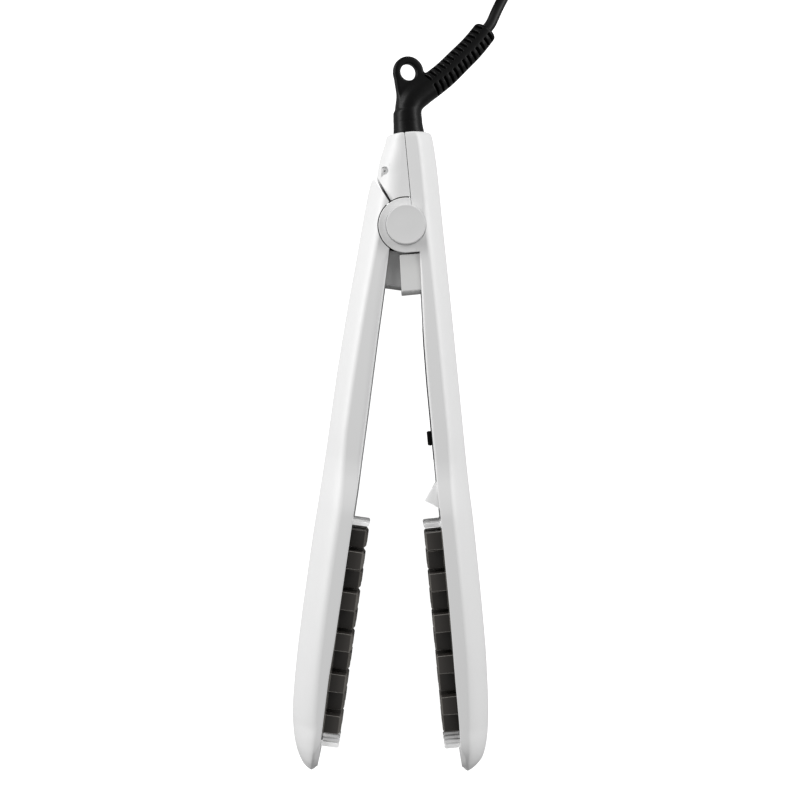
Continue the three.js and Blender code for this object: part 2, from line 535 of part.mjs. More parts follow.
// Neck, with the flange that turns inside the housing.
const neck = lathe([[0, -13.5], [5.4, -13.5], [5.4, -4.6], [8.6, -4.6], [8.6, -2.6], [6.2, -2.6], [6.2, 0.3],
  [7.5, 0.3], [7.5, 2.2], [7.1, 3.6], [6.6, 6.5], [6.35, 10.3], [0, 10.3]]);
const BOOT_LINE = [[0.3, 9.0], [0.5, 11.5], [1.3, 14.3], [3.4, 17.5], [7.8, 20.9], [14.0, 24.8], [20.8, 29.35],
  [28.66, 35.75], [36.1, 42.0], [42.65, 48.6]];
const bootCurve = new THREE.CatmullRomCurve3(BOOT_LINE.map(([x, y]) => new THREE.Vector3(x, y, 0)), false, 'centripetal');
const bootRings = [];
const BOOT_STEPS = 22;
for (let i = 0; i <= BOOT_STEPS; i++) {
  const t = i / BOOT_STEPS;
  const p = bootCurve.getPointAt(t);
  const d = bootCurve.getTangentAt(t);
  const r = t < 0.25 ? 6.35 : lerp(6.35, 5.85, (t - 0.25) / 0.75) - (i === BOOT_STEPS ? 0.9 : 0);
  const ring = [];
  for (let k = 0; k < 16; k++) {
    const a = (k / 16) * 2 * Math.PI;
    ring.push([p.x - d.y * r * Math.cos(a), p.y + d.x * r * Math.cos(a), r * Math.sin(a)]);
  }
  bootRings.push(ring);
}
const loopShape = new THREE.Shape();
loopShape.moveTo(-4.7, 12);
loopShape.lineTo(-4.8, 30.9);
for (let i = 1; i <= 16; i++) {
  const a = Math.PI * (1 - i / 16);
  loopShape.lineTo(2.4 + 7.2 * Math.cos(a), 30.9 + 7.2 * Math.sin(a));
}
loopShape.lineTo(9.8, 26);
loopShape.lineTo(12, 22);
loopShape.lineTo(4, 13);
const tab = cut(
  new THREE.ExtrudeGeometry(loopShape, { depth: 4.0, bevelEnabled: false, steps: 1 }).translate(0, 0, -2.0),
  cylZ(2.4, -30.9, HANG_HOLE_R, -5, 5, 28),
);
add(boot, 'swivel_boot', join(neck, loft(bootRings), tab), black());

// ---------------------------------------------------------------- free cord
// Route in the photographed plane's frame, z from the surface the iron lies on.
model.updateMatrixWorld(true);
const exit = boot.localToWorld(new THREE.Vector3(42.65, 48.6, 0));
const exitDir = bootCurve.getTangentAt(1).transformDirection(boot.matrixWorld);
const p0 = exit.clone().addScaledVector(exitDir, 0.35);
const p1 = exit.clone().addScaledVector(exitDir, 4.5);
const lead = [p0.toArray(), p1.toArray(), [47.6, 191.0, 6.2], [51.0, 197.7, 5.0], [55.0, 204.9, 4.2]];
add(cords, 'cord_lead', sweep(lead, CORD_D / 2, CORD_SIDES, 8), black());
const coilRing = new THREE.LatheGeometry([
  new THREE.Vector2(COIL_IN, COIL_Z[0]), new THREE.Vector2(COIL_OUT, COIL_Z[0]), new THREE.Vector2(COIL_OUT, COIL_Z[1]),
  new THREE.Vector2(COIL_IN, COIL_Z[1]), new THREE.Vector2(COIL_IN, COIL_Z[0])], 36).rotateX(Math.PI / 2);
add(cords, 'cord_coil', coilRing, black()).position.set(COIL_C[0], COIL_C[1], 0);
const tieX = [COIL_C[0] - COIL_OUT, COIL_C[0] - COIL_IN];
const tie = cut(new THREE.BoxGeometry(tieX[1] - tieX[0] + 2.6, 6, COIL_Z[1] + 1.3),
  new THREE.BoxGeometry(tieX[1] - tieX[0] + 0.6, 10, COIL_Z[1] - COIL_Z[0] + 0.6));
add(cords, 'cord_tie', tie, dark()).position.set((tieX[0] + tieX[1]) / 2, COIL_C[1], (COIL_Z[1] + 1.3) / 2);
const tailY = COIL_C[1] + COIL_OUT - CORD_D / 2;
const PLUG_X = -4.4;
add(cords, 'cord_tail', sweep([[9.2, tailY, 10.0], [5.6, tailY, 8.65], [0.6, tailY, 7.24], [PLUG_X + 0.3, tailY, 6.7]],
  CORD_D / 2, CORD_SIDES, 4), black());

const plugBody = join(
  lathe([[0, 0], [3.3, 0], [4.2, 13.5], [0, 13.5]], 20).rotateZ(Math.PI / 2).translate(PLUG_X, tailY, 6.7),
  new THREE.BoxGeometry(14, 20, 11.5).translate(PLUG_X - 20, tailY, 6.7),
  new THREE.BoxGeometry(20, 24, 13.0).translate(PLUG_X - 31, tailY, 6.7),
);
add(cords, 'plug_body', plugBody, black());
for (const [i, dy] of [[1, -6.35], [2, 6.35]]) {
  add(cords, `plug_blade_${i}`, new THREE.BoxGeometry(16.0, 1.5, 6.3).translate(PLUG_X - 41 - 0.3 - 8.0, tailY + dy, 6.7), brass());
}

// Origin: middle of the iron's own footprint, on the surface it lies on.
const own = new THREE.Box3();
model.traverse((o) => {
  if (o.isMesh && !cordNodes.has(o.name)) own.expandByObject(o, true);
});
const centre = own.getCenter(new THREE.Vector3());
model.position.set(-centre.x, -centre.y, -own.min.z);
model.updateMatrixWorld(true);

export default model;
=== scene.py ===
import json
import math
import bpy
import bmesh
import numpy as np
from mathutils import Matrix, Vector

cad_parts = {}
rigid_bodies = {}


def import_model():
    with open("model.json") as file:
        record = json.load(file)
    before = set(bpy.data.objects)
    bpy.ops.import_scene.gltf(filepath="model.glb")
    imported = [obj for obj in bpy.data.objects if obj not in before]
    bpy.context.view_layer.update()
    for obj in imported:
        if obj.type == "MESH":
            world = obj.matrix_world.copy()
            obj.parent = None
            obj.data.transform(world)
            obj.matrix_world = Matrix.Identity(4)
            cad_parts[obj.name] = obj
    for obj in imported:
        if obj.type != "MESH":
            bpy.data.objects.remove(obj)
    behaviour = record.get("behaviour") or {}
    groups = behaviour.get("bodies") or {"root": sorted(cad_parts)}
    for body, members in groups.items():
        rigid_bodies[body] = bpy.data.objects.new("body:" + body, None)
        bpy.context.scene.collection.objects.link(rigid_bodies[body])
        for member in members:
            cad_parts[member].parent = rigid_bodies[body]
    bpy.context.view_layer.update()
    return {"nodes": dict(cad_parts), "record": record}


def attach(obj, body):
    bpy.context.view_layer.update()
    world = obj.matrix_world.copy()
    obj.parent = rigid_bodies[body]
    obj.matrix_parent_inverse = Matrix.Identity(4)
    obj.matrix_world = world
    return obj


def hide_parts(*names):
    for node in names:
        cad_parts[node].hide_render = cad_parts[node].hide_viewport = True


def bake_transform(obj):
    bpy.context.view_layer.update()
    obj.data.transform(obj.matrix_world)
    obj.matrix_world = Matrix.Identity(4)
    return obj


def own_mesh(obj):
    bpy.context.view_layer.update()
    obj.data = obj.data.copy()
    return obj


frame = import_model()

NODES = frame["nodes"]
MM = 0.001
scene = bpy.context.scene

# ------------------------------------------------------------------ camera
# Straight down on the iron, as the photograph is taken.
cam_data = bpy.data.cameras.new("camera")
cam_data.sensor_width = 36.0
cam_data.lens = 75.0
camera = bpy.data.objects.new("camera", cam_data)
scene.collection.objects.link(camera)
camera.location = (0.0032735, -0.0014488, 0.8205)
camera.rotation_euler = (0.0, 0.0, 0.0)
cam_data.clip_start, cam_data.clip_end = 0.01, 20.0
scene.camera = camera

# ------------------------------------------------------------------ frames, in millimetres
HINGE = np.array([6.08347, 80.77121, 20.5])
SHIFT = np.array([3.27347, -1.44879, 0.0])     # from the photographed plane to the row frame


def rot_z(deg):
    c, s = math.cos(math.radians(deg)), math.sin(math.radians(deg))
    return np.array([[c, -s, 0], [s, c, 0], [0, 0, 1.0]])


def rot_y(deg):
    c, s = math.cos(math.radians(deg)), math.sin(math.radians(deg))
    return np.array([[c, 0, s], [0, 1.0, 0], [-s, 0, c]])


R_FIXED, R_MOVING, R_BOOT = rot_z(5.4), rot_z(-7.8), rot_y(16)
MIRROR = np.diag([-1.0, 1.0, 1.0])
IDENTITY = (np.eye(3), np.zeros(3))
FIXED = (R_FIXED, HINGE)
MOVING = (R_MOVING @ MIRROR, HINGE)
BOOT = (R_FIXED @ R_BOOT, HINGE + R_FIXED @ np.array([5.7, 43.6, 0.0]))


def to_row(points, place):
    r, t = place
    return np.asarray(points, float).reshape(-1, 3) @ r.T + t


# ------------------------------------------------------------------ tables
def pchip(table, s):
    """Monotone cubic through the table's points."""
    x = np.array([p[0] for p in table], float)
    y = np.array([p[1] for p in table], float)
    h = np.diff(x)
    d = np.diff(y) / h
    m = np.zeros_like(x)
    m[0], m[-1] = d[0], d[-1]
    for i in range(1, len(x) - 1):
        if d[i - 1] * d[i] > 0:
            w1, w2 = 2 * h[i] + h[i - 1], h[i] + 2 * h[i - 1]
            m[i] = (w1 + w2) / (w1 / d[i - 1] + w2 / d[i])
    s = np.clip(np.asarray(s, float), x[0], x[-1])
    k = np.clip(np.searchsorted(x, s) - 1, 0, len(x) - 2)
    t = (s - x[k]) / h[k]
    return ((1 + 2 * t) * (1 - t) ** 2 * y[k] + t * (1 - t) ** 2 * h[k] * m[k]
            + t * t * (3 - 2 * t) * y[k + 1] + t * t * (t - 1) * h[k] * m[k + 1])


def lin(table, s):
    return float(np.interp(s, [p[0] for p in table], [p[1] for p in table]))


def smooth01(x):
    x = np.clip(x, 0.0, 1.0)
    return x * x * (3 - 2 * x)


# ------------------------------------------------------------------ mesh helpers
def new_object(name, verts, faces):
    me = bpy.data.meshes.new(name)
    me.from_pydata([tuple(float(c) for c in v) for v in verts], [], [tuple(int(i) for i in f) for f in faces])
    me.update()
    ob = bpy.data.objects.new(name, me)
    scene.collection.objects.link(ob)
    return ob


def fix_normals(ob):
    bm = bmesh.new()
    bm.from_mesh(ob.data)
    bmesh.ops.recalc_face_normals(bm, faces=bm.faces)
    if bm.calc_volume(signed=True) < 0:
        bmesh.ops.reverse_faces(bm, faces=bm.faces)
    bm.to_mesh(ob.data)
    bm.free()
    return ob


def loft(name, rings, cap=True):
    """A closed body through rings of equal point counts; rings[k] is an (n, 3) array."""
    rings = np.asarray(rings, float)
    m, n, _ = rings.shape
    verts = rings.reshape(-1, 3)
    faces = []
    for k in range(m - 1):
        for i in range(n):
            j = (i + 1) % n
            faces.append((k * n + i, k * n + j, (k + 1) * n + j, (k + 1) * n + i))
    if cap:
        faces.append(tuple(range(n))[::-1])
        faces.append(tuple((m - 1) * n + i for i in range(n)))
    return fix_normals(new_object(name, verts, faces))


def drop(ob):
    me = ob.data
    bpy.data.objects.remove(ob)
    if me is not None and me.users == 0:
        bpy.data.meshes.remove(me)


def boolean(a, b, op="DIFFERENCE", keep=False):
    m = a.modifiers.new("cut", "BOOLEAN")
    m.operation, m.object, m.solver = op, b, "EXACT"
    dg = bpy.context.evaluated_depsgraph_get()
    dg.update()
    me = bpy.data.meshes.new_from_object(a.evaluated_get(dg))
    a.modifiers.clear()
    old = a.data
    a.data = me
    bpy.data.meshes.remove(old)
    if not keep:
        drop(b)
    return a


def joined(name, obs):
    bm = bmesh.new()
    for ob in obs:
        bm.from_mesh(ob.data)
    me = bpy.data.meshes.new(name)
    bm.to_mesh(me)
    bm.free()
    for ob in obs:
        drop(ob)
    ob = bpy.data.objects.new(name, me)
    scene.collection.objects.link(ob)
    return ob


def bevel(ob, width, segments=2, angle=28, profile=0.5, only=None, dissolve=False):
    bm = bmesh.new()
    bm.from_mesh(ob.data)
    bmesh.ops.remove_doubles(bm, verts=bm.verts, dist=1e-4)
    if dissolve:
        bmesh.ops.dissolve_limit(bm, angle_limit=math.radians(1.0), verts=bm.verts, edges=bm.edges)
    lim = math.radians(angle)
    edges = [e for e in bm.edges if len(e.link_faces) == 2 and e.calc_face_angle(0.0) > lim and (only is None or only(e))]
    if edges:
        bmesh.ops.bevel(bm, geom=edges, offset=width, offset_type="OFFSET", segments=segments, profile=profile,
                        affect="EDGES", clamp_overlap=True)
    bmesh.ops.remove_doubles(bm, verts=bm.verts, dist=1e-5)
    bm.to_mesh(ob.data)
    bm.free()
    return ob


def finish_piece(ob, name, place, body, material, replaces=(), angle=35, weighted=False, ride=True):
    """Moves a millimetre mesh into the row frame, in metres, and gives it its body and material."""
    ob.name = name
    ob.data.name = name
    co = np.zeros(len(ob.data.vertices) * 3)
    ob.data.vertices.foreach_get("co", co)
    ob.data.vertices.foreach_set("co", (to_row(co, place) * MM).ravel())
    if np.linalg.det(place[0]) < 0:
        ob.data.flip_normals()
    ob.data.update()
    ob.data.polygons.foreach_set("use_smooth", np.ones(len(ob.data.polygons), dtype=bool))
    if angle:
        ob.data.set_sharp_from_angle(angle=math.radians(angle))
    ob.data.materials.clear()
    ob.data.materials.append(material)
    if weighted:
        w = ob.modifiers.new("normals", "WEIGHTED_NORMAL")
        w.keep_sharp = True
        w.weight = 60
    if ride:
        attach(ob, body)
    if replaces:
        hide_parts(*([replaces] if isinstance(replaces, str) else replaces))
    return ob


def cylinder(name, axis, centre, r, a, b, n=64):
    """A cylinder from a to b along an axis ('x', 'y' or 'z'); centre holds the two other coordinates."""
    t = np.arange(n) / n * 2 * math.pi
    rings = []
    for v in (a, b):
        c, s = centre[0] + r * np.cos(t), centre[1] + r * np.sin(t)
        one = np.full(n, float(v))
        rings.append(np.stack({"x": (one, c, s), "y": (c, one, s), "z": (c, s, one)}[axis], 1))
    return loft(name, rings)


def lathe(name, profile, axis="z", n=96, centre=(0, 0, 0)):
    """Turns an (r, h) profile about an axis; the ends that touch the axis close on one point."""
    verts, rows = [], []
    for r, h in profile:
        row = []
        for i in range(1 if r < 1e-6 else n):
            t = i / n * 2 * math.pi
            p = {"z": (r * math.cos(t), r * math.sin(t), h), "y": (r * math.cos(t), h, r * math.sin(t)),
                 "x": (h, r * math.cos(t), r * math.sin(t))}[axis]
            row.append(len(verts))
            verts.append(np.array(p) + np.array(centre))
        rows.append(row)
    faces = []
    closed = profile[0] == profile[-1]
    pairs = list(zip(rows[:-1], rows[1:]))
    if closed:
        pairs[-1] = (rows[-2], rows[0])
    for p, q in pairs:
        for i in range(n):
            j = (i + 1) % n
            if len(p) == 1 and len(q) == 1:
                continue
            if len(p) == 1:
                faces.append((p[0], q[i], q[j]))
            elif len(q) == 1:
                faces.append((p[i], q[0], p[j]))
            else:
                faces.append((p[i], q[i], q[j], p[j]))
    ob = new_object(name, verts, faces)
    if closed:
        bm = bmesh.new()
        bm.from_mesh(ob.data)
        bmesh.ops.delete(bm, geom=[v for v in bm.verts if not v.link_faces], context="VERTS")
        bm.to_mesh(ob.data)
        bm.free()
    return fix_normals(ob)


def box(name, x0, x1, y0, y1, z0, z1):
    v = [(x, y, z) for x in (x0, x1) for y in (y0, y1) for z in (z0, z1)]
    f = [(0, 1, 3, 2), (4, 6, 7, 5), (0, 4, 5, 1), (2, 3, 7, 6), (0, 2, 6, 4), (1, 5, 7, 3)]
    return fix_normals(new_object(name, v, f))


def extrude(name, outline, z0, z1):
    """An outline of (x, y) points between two z levels."""
    pts = np.array(outline, float)
    rings = [np.column_stack([pts, np.full(len(pts), z)]) for z in (z0, z1)]
    return loft(name, rings)


def tube(name, points, radius, sides=16, caps=True, up=None):
    """A round tube along points, with a frame carried along the curve."""
    p = np.asarray(points, float)
    d = np.gradient(p, axis=0)
    d /= np.linalg.norm(d, axis=1)[:, None]
    u = np.array(up if up is not None else ([0, 0, 1.0] if abs(d[0][2]) < 0.9 else [1.0, 0, 0]), float)
    u = u - d[0] * (u @ d[0])
    u /= np.linalg.norm(u)
    rings = []
    t = np.arange(sides) / sides * 2 * math.pi
    r = np.broadcast_to(np.asarray(radius, float), (len(p),))
    for k in range(len(p)):
        if k:
            u = u - d[k] * (u @ d[k])
            u /= np.linalg.norm(u)
        v = np.cross(d[k], u)
        rings.append(p[k] + r[k] * (np.cos(t)[:, None] * u + np.sin(t)[:, None] * v))
    return loft(name, rings, cap=caps)


def catmull(points, per=12):
    """Centripetal Catmull-Rom through the points."""
    p = np.asarray(points, float)
    p = np.vstack([2 * p[0] - p[1], p, 2 * p[-1] - p[-2]])
    out = []
    for i in range(1, len(p) - 2):
        p0, p1, p2, p3 = p[i - 1:i + 3]
        t0 = 0.0
        t1 = t0 + max(np.linalg.norm(p1 - p0), 1e-9) ** 0.5
        t2 = t1 + max(np.linalg.norm(p2 - p1), 1e-9) ** 0.5
        t3 = t2 + max(np.linalg.norm(p3 - p2), 1e-9) ** 0.5
        for t in np.linspace(t1, t2, per, endpoint=False):
            a1 = (t1 - t) / (t1 - t0) * p0 + (t - t0) / (t1 - t0) * p1
            a2 = (t2 - t) / (t2 - t1) * p1 + (t - t1) / (t2 - t1) * p2
            a3 = (t3 - t) / (t3 - t2) * p2 + (t - t2) / (t3 - t2) * p3
            b1 = (t2 - t) / (t2 - t0) * a1 + (t - t0) / (t2 - t0) * a2
            b2 = (t3 - t) / (t3 - t1) * a2 + (t - t1) / (t3 - t1) * a3
            out.append((t2 - t) / (t2 - t1) * b1 + (t - t1) / (t2 - t1) * b2)
    out.append(p[-2])
    return np.array(out)


def resample(p, step):
    d = np.concatenate([[0], np.cumsum(np.linalg.norm(np.diff(p, axis=0), axis=1))])
    n = max(2, int(round(d[-1] / step)) + 1)
    t = np.linspace(0, d[-1], n)
    return np.stack([np.interp(t, d, p[:, i]) for i in range(3)], 1), d[-1]


# A smooth closed surface round the points where a distance function is below zero.
def field_mesh(name, func, lo, hi, h, coarse=4):
    lo, hi = np.array(lo, float), np.array(hi, float)
    n = (np.ceil((hi - lo) / (h * coarse)).astype(int)) * coarse + 1
    nc = (n - 1) // coarse + 1
    axes_c = [lo[i] + np.arange(nc[i]) * h * coarse for i in range(3)]
    grid = np.stack(np.meshgrid(*axes_c, indexing="ij"), -1).reshape(-1, 3)
    c = func(grid).reshape(nc)
    for ax in range(3):
        k = np.arange(n[ax])
        i0 = np.minimum(k // coarse, nc[ax] - 2)
        f = (k - i0 * coarse) / coarse
        shape = [1, 1, 1]
        shape[ax] = -1
        f = f.reshape(shape)
        c = np.take(c, i0, axis=ax) * (1 - f) + np.take(c, i0 + 1, axis=ax) * f
    near = np.abs(c) < 1.9 * h * coarse
    idx = np.argwhere(near)
    pts = lo + idx * h
    vals = np.empty(len(pts))
    for a in range(0, len(pts), 60000):
        vals[a:a + 60000] = func(pts[a:a + 60000])
    c[near] = vals
    inside = c < 0
    cells = tuple(n - 1)
    total = np.zeros(cells + (3,))
    count = np.zeros(cells)
    quads = []
    index = np.full(cells, -1, dtype=np.int64)
    for ax in range(3):
        s0 = [slice(None)] * 3
        s1 = [slice(None)] * 3
        s0[ax], s1[ax] = slice(0, -1), slice(1, None)
        a, b = c[tuple(s0)], c[tuple(s1)]
        cross = inside[tuple(s0)] != inside[tuple(s1)]
        e = np.argwhere(cross)
        va, vb = a[cross], b[cross]
        t = va / (va - vb)
        pos = e.astype(float)
        pos[:, ax] += t
        o1, o2 = [i for i in range(3) if i != ax]
        for d1 in (0, -1):
            for d2 in (0, -1):
                cell = e.copy()
                cell[:, o1] += d1
                cell[:, o2] += d2
                ok = (cell[:, o1] >= 0) & (cell[:, o1] < cells[o1]) & (cell[:, o2] >= 0) & (cell[:, o2] < cells[o2])
                cc = tuple(cell[ok].T)
                np.add.at(total, cc, pos[ok])
                np.add.at(count, cc, 1)
        keep = (e[:, o1] > 0) & (e[:, o2] > 0) & (e[:, o1] < n[o1] - 1) & (e[:, o2] < n[o2] - 1)
        quads.append((ax, o1, o2, e[keep], (va < vb)[keep]))
    used = count > 0
    index[used] = np.arange(used.sum())
    verts = total[used] / count[used][:, None] * h + lo
    faces = []
    for ax, o1, o2, e, flip in quads:
        ids = []
        for d1, d2 in ((-1, -1), (0, -1), (0, 0), (-1, 0)):
            cell = e.copy()
            cell[:, o1] += d1
            cell[:, o2] += d2
            ids.append(index[tuple(cell.T)])
        f = np.stack(ids, 1)
        if ax == 1:
            flip = ~flip
        f[~flip] = f[~flip][:, ::-1]
        faces.append(f)
    faces = np.concatenate(faces)
    ob = new_object(name, verts, faces)
    return fix_normals(ob)


def smin(a, b, k):
    h = np.clip(0.5 + 0.5 * (b - a) / k, 0, 1)
    return b * (1 - h) + a * h - k * h * (1 - h)


def smax(a, b, k):
    return -smin(-a, -b, k)


def rounded_box(p, centre, half, r):
    q = np.abs(p - np.array(centre)) - (np.array(half) - r)
    return np.linalg.norm(np.maximum(q, 0), axis=1) + np.minimum(q.max(1), 0) - r


# ------------------------------------------------------------------ materials
def nodes_of(name):
    m = bpy.data.materials.new(name)
    m.use_nodes = True
    nt = m.node_tree
    return m, nt, nt.nodes["Principled BSDF"]


def noise(nt, scale, detail=3.0, rough=0.55, coord=None, distortion=0.0):
    t = nt.nodes.new("ShaderNodeTexNoise")
    t.inputs["Scale"].default_value = scale
    t.inputs["Detail"].default_value = detail
    t.inputs["Roughness"].default_value = rough
    t.inputs["Distortion"].default_value = distortion
    nt.links.new(coord, t.inputs["Vector"])
    return t.outputs["Fac"]


def ramp(nt, fac, stops):
    r = nt.nodes.new("ShaderNodeValToRGB")
    els = r.color_ramp.elements
    while len(els) < len(stops):
        els.new(0.5)
    for e, (pos, col) in zip(els, stops):
        e.position = pos
        e.color = (*col, 1.0) if hasattr(col, "__len__") else (col, col, col, 1.0)
    nt.links.new(fac, r.inputs["Fac"])
    return r.outputs["Color"]


def to_range(nt, fac, lo, hi):
    m = nt.nodes.new("ShaderNodeMapRange")
    m.inputs["From Min"].default_value = 0.3
    m.inputs["From Max"].default_value = 0.7
    m.inputs["To Min"].default_value = lo
    m.inputs["To Max"].default_value = hi
    nt.links.new(fac, m.inputs["Value"])
    return m.outputs["Result"]


def bump(nt, height, strength, distance, normal=None):
    b = nt.nodes.new("ShaderNodeBump")
    b.inputs["Strength"].default_value = strength
    b.inputs["Distance"].default_value = distance
    nt.links.new(height, b.inputs["Height"])
    if normal is not None:
        nt.links.new(normal, b.inputs["Normal"])
    return b.outputs["Normal"]


def plastic(name, col, rough, var=0.02, grain=2600, grain_depth=0.00002, coat=0.0, coat_rough=0.2, spec=0.5, mottle=60,
            rough_var=0.04, sheen=0.0):
    """Moulded plastic or rubber: faint uneven colour, a fine moulded grain, and a roughness that varies a little."""
    m, nt, b = nodes_of(name)
    co = nt.nodes.new("ShaderNodeTexCoord").outputs["Object"]
    big = noise(nt, mottle, 4.0, 0.55, co)
    c = np.array(col, float)
    nt.links.new(ramp(nt, big, [(0.25, tuple(c * (1 - var))), (0.75, tuple(np.minimum(c * (1 + var), 1.0)))]), b.inputs["Base Color"])
    mid = noise(nt, mottle * 9, 3.0, 0.6, co)
    nt.links.new(to_range(nt, mid, rough - rough_var, rough + rough_var), b.inputs["Roughness"])
    fine = noise(nt, grain, 2.0, 0.6, co)
    nt.links.new(bump(nt, fine, 0.35, grain_depth), b.inputs["Normal"])
    b.inputs["Specular IOR Level"].default_value = spec
    b.inputs["Coat Weight"].default_value = coat
    b.inputs["Coat Roughness"].default_value = coat_rough
    b.inputs["Sheen Weight"].default_value = sheen
    return m


def metal(name, col, rough, stretch=(1, 1, 1), grain=1800, var=0.08):
    m, nt, b = nodes_of(name)
    tc = nt.nodes.new("ShaderNodeTexCoord").outputs["Object"]
    mp = nt.nodes.new("ShaderNodeMapping")
    mp.inputs["Scale"].default_value = stretch
    nt.links.new(tc, mp.inputs["Vector"])
    co = mp.outputs["Vector"]
    c = np.array(col, float)
    fine = noise(nt, grain, 3.0, 0.6, co)
    nt.links.new(ramp(nt, fine, [(0.3, tuple(c * (1 - var))), (0.7, tuple(np.minimum(c * (1 + var), 1.0)))]), b.inputs["Base Color"])
    nt.links.new(to_range(nt, fine, rough - 0.08, rough + 0.08), b.inputs["Roughness"])
    nt.links.new(bump(nt, fine, 0.2, 0.00001), b.inputs["Normal"])
    b.inputs["Metallic"].default_value = 1.0
    return m


def ceramic_coat(name, dark=(0.0080, 0.0070, 0.0060), light=(0.0115, 0.0100, 0.0088)):
    """Dark ceramic coating on cast blocks: brown-black, with fine pale flecks, and a pale colour laid along the sharp
    edges as a painted highlight.
    """
    m, nt, b = nodes_of(name)
    co = nt.nodes.new("ShaderNodeTexCoord").outputs["Object"]
    big = noise(nt, 90, 4.0, 0.6, co)
    base = ramp(nt, big, [(0.3, dark), (0.7, light)])
    v = nt.nodes.new("ShaderNodeTexVoronoi")
    v.inputs["Scale"].default_value = 1500
    nt.links.new(co, v.inputs["Vector"])
    fleck = ramp(nt, v.outputs["Distance"], [(0.0, 1.0), (0.10, 0.0)])
    # Pointiness finds the sharp edges, and a second mix lays a pale colour over them: a painted edge highlight.
    geo = nt.nodes.new("ShaderNodeNewGeometry")
    edge = ramp(nt, geo.outputs["Pointiness"], [(0.505, 0.0), (0.56, 1.0)])
    mix = nt.nodes.new("ShaderNodeMix")
    mix.data_type = "RGBA"
    mix.inputs[7].default_value = (0.036, 0.033, 0.030, 1)
    nt.links.new(base, mix.inputs[6])
    f = nt.nodes.new("ShaderNodeMath")
    f.operation = "MULTIPLY"
    f.inputs[1].default_value = 0.30
    nt.links.new(fleck, f.inputs[0])
    nt.links.new(f.outputs[0], mix.inputs[0])
    painted_highlight_mix = nt.nodes.new("ShaderNodeMix")
    painted_highlight_mix.data_type = "RGBA"
    painted_highlight_mix.inputs[7].default_value = (0.135, 0.125, 0.115, 1)
    nt.links.new(mix.outputs[2], painted_highlight_mix.inputs[6])
    g = nt.nodes.new("ShaderNodeMath")
    g.operation = "MULTIPLY"
    g.inputs[1].default_value = 0.85
    nt.links.new(edge, g.inputs[0])
    nt.links.new(g.outputs[0], painted_highlight_mix.inputs[0])
    nt.links.new(painted_highlight_mix.outputs[2], b.inputs["Base Color"])
    fine = noise(nt, 2200, 3.0, 0.6, co)
    nt.links.new(to_range(nt, fine, 0.36, 0.48), b.inputs["Roughness"])
    nt.links.new(bump(nt, fine, 0.3, 0.00002), b.inputs["Normal"])
    b.inputs["Specular IOR Level"].default_value = 0.36
    b.inputs["Coat Weight"].default_value = 0.25
    b.inputs["Coat Roughness"].default_value = 0.14
    return m


WHITE = plastic("white_housing", (0.79, 0.79, 0.79), 0.44, var=0.006, grain=3200, grain_depth=0.000012, coat=0.12, coat_rough=0.30, mottle=25, rough_var=0.03)
WHITE_COVER = plastic("white_cover", (0.86, 0.86, 0.86), 0.44, var=0.008, grain=3000, grain_depth=0.00002, mottle=30)
CAP_GREY = plastic("hinge_cap_grey", (0.735, 0.735, 0.735), 0.42, var=0.012, grain=4200, grain_depth=0.000025, mottle=80)
COMB_GREY = plastic("comb_grey", (0.84, 0.84, 0.84), 0.42, var=0.02, grain=3000, grain_depth=0.00002, mottle=120)
GUARD_GREY = plastic("guard_grey", (0.57, 0.57, 0.565), 0.45, var=0.02, grain=2600, grain_depth=0.00003, mottle=90)
GUARD_DARK = plastic("guard_dark", (0.32, 0.32, 0.32), 0.45, var=0.04, grain=2600, grain_depth=0.00003, mottle=90)
MID_GREY = plastic("moulded_grey", (0.10, 0.10, 0.10), 0.5, var=0.03, grain=2600, grain_depth=0.00003)
DARK = plastic("dark_plastic", (0.004, 0.004, 0.0042), 0.48, var=0.12, grain=2600, grain_depth=0.00004, mottle=120, spec=0.16)
BLACK_FLEX = plastic("black_flex", (0.0030, 0.0030, 0.0031), 0.40, var=0.12, grain=2400, grain_depth=0.00004, mottle=140, rough_var=0.06, spec=0.15)
CORD_BLACK = plastic("cord_black", (0.0060, 0.0060, 0.0062), 0.44, var=0.12, grain=1800, grain_depth=0.00003, mottle=160, rough_var=0.05, spec=0.22)
STRAP = plastic("strap_black", (0.018, 0.018, 0.019), 0.75, var=0.25, grain=5200, grain_depth=0.00012, mottle=900, rough_var=0.08)
CERAMIC = ceramic_coat("ceramic_blocks", (0.0056, 0.0043, 0.0033), (0.0086, 0.0068, 0.0054))
# A paler copy of the ceramic for the blocks' bevels and chamfers: a painted edge highlight.
CERAMIC_PAINTED_HIGHLIGHT = ceramic_coat("ceramic_painted_highlight", (0.060, 0.056, 0.050), (0.14, 0.132, 0.120))
STEEL = metal("plated_steel", (0.60, 0.61, 0.62), 0.36)
PAINTED = plastic("painted_screw", (0.68, 0.68, 0.68), 0.42, var=0.03, grain=5200, grain_depth=0.00002, mottle=400)
BRASS = metal("plug_blade", (0.72, 0.66, 0.50), 0.28, stretch=(1, 12, 12))
MICA = plastic("heat_resisting", (0.62, 0.56, 0.45), 0.7, var=0.10, grain=1500, grain_depth=0.00006, mottle=300)
BOARD = plastic("board_laminate", (0.035, 0.13, 0.05), 0.45, var=0.10, grain=1900, grain_depth=0.00003, mottle=400)
LEAD_RED = plastic("lead_sleeve", (0.26, 0.035, 0.03), 0.5, var=0.10, grain=2600, grain_depth=0.00003)

SLOT_MATERIAL = {"housing_white": WHITE_COVER, "pale_grey": COMB_GREY, "mid_grey": MID_GREY, "dark_plastic": DARK,
                 "black_flex": BLACK_FLEX, "ceramic": CERAMIC, "steel": STEEL, "brass": BRASS, "mica": MICA,
                 "board": BOARD, "lead_red": LEAD_RED}
NODE_SLOT = {p["node"]: p["material_slot"] for p in frame["record"]["subparts"]}
for n, ob in NODES.items():
    ob.data.materials.clear()
    ob.data.materials.append(SLOT_MATERIAL[NODE_SLOT[n]])

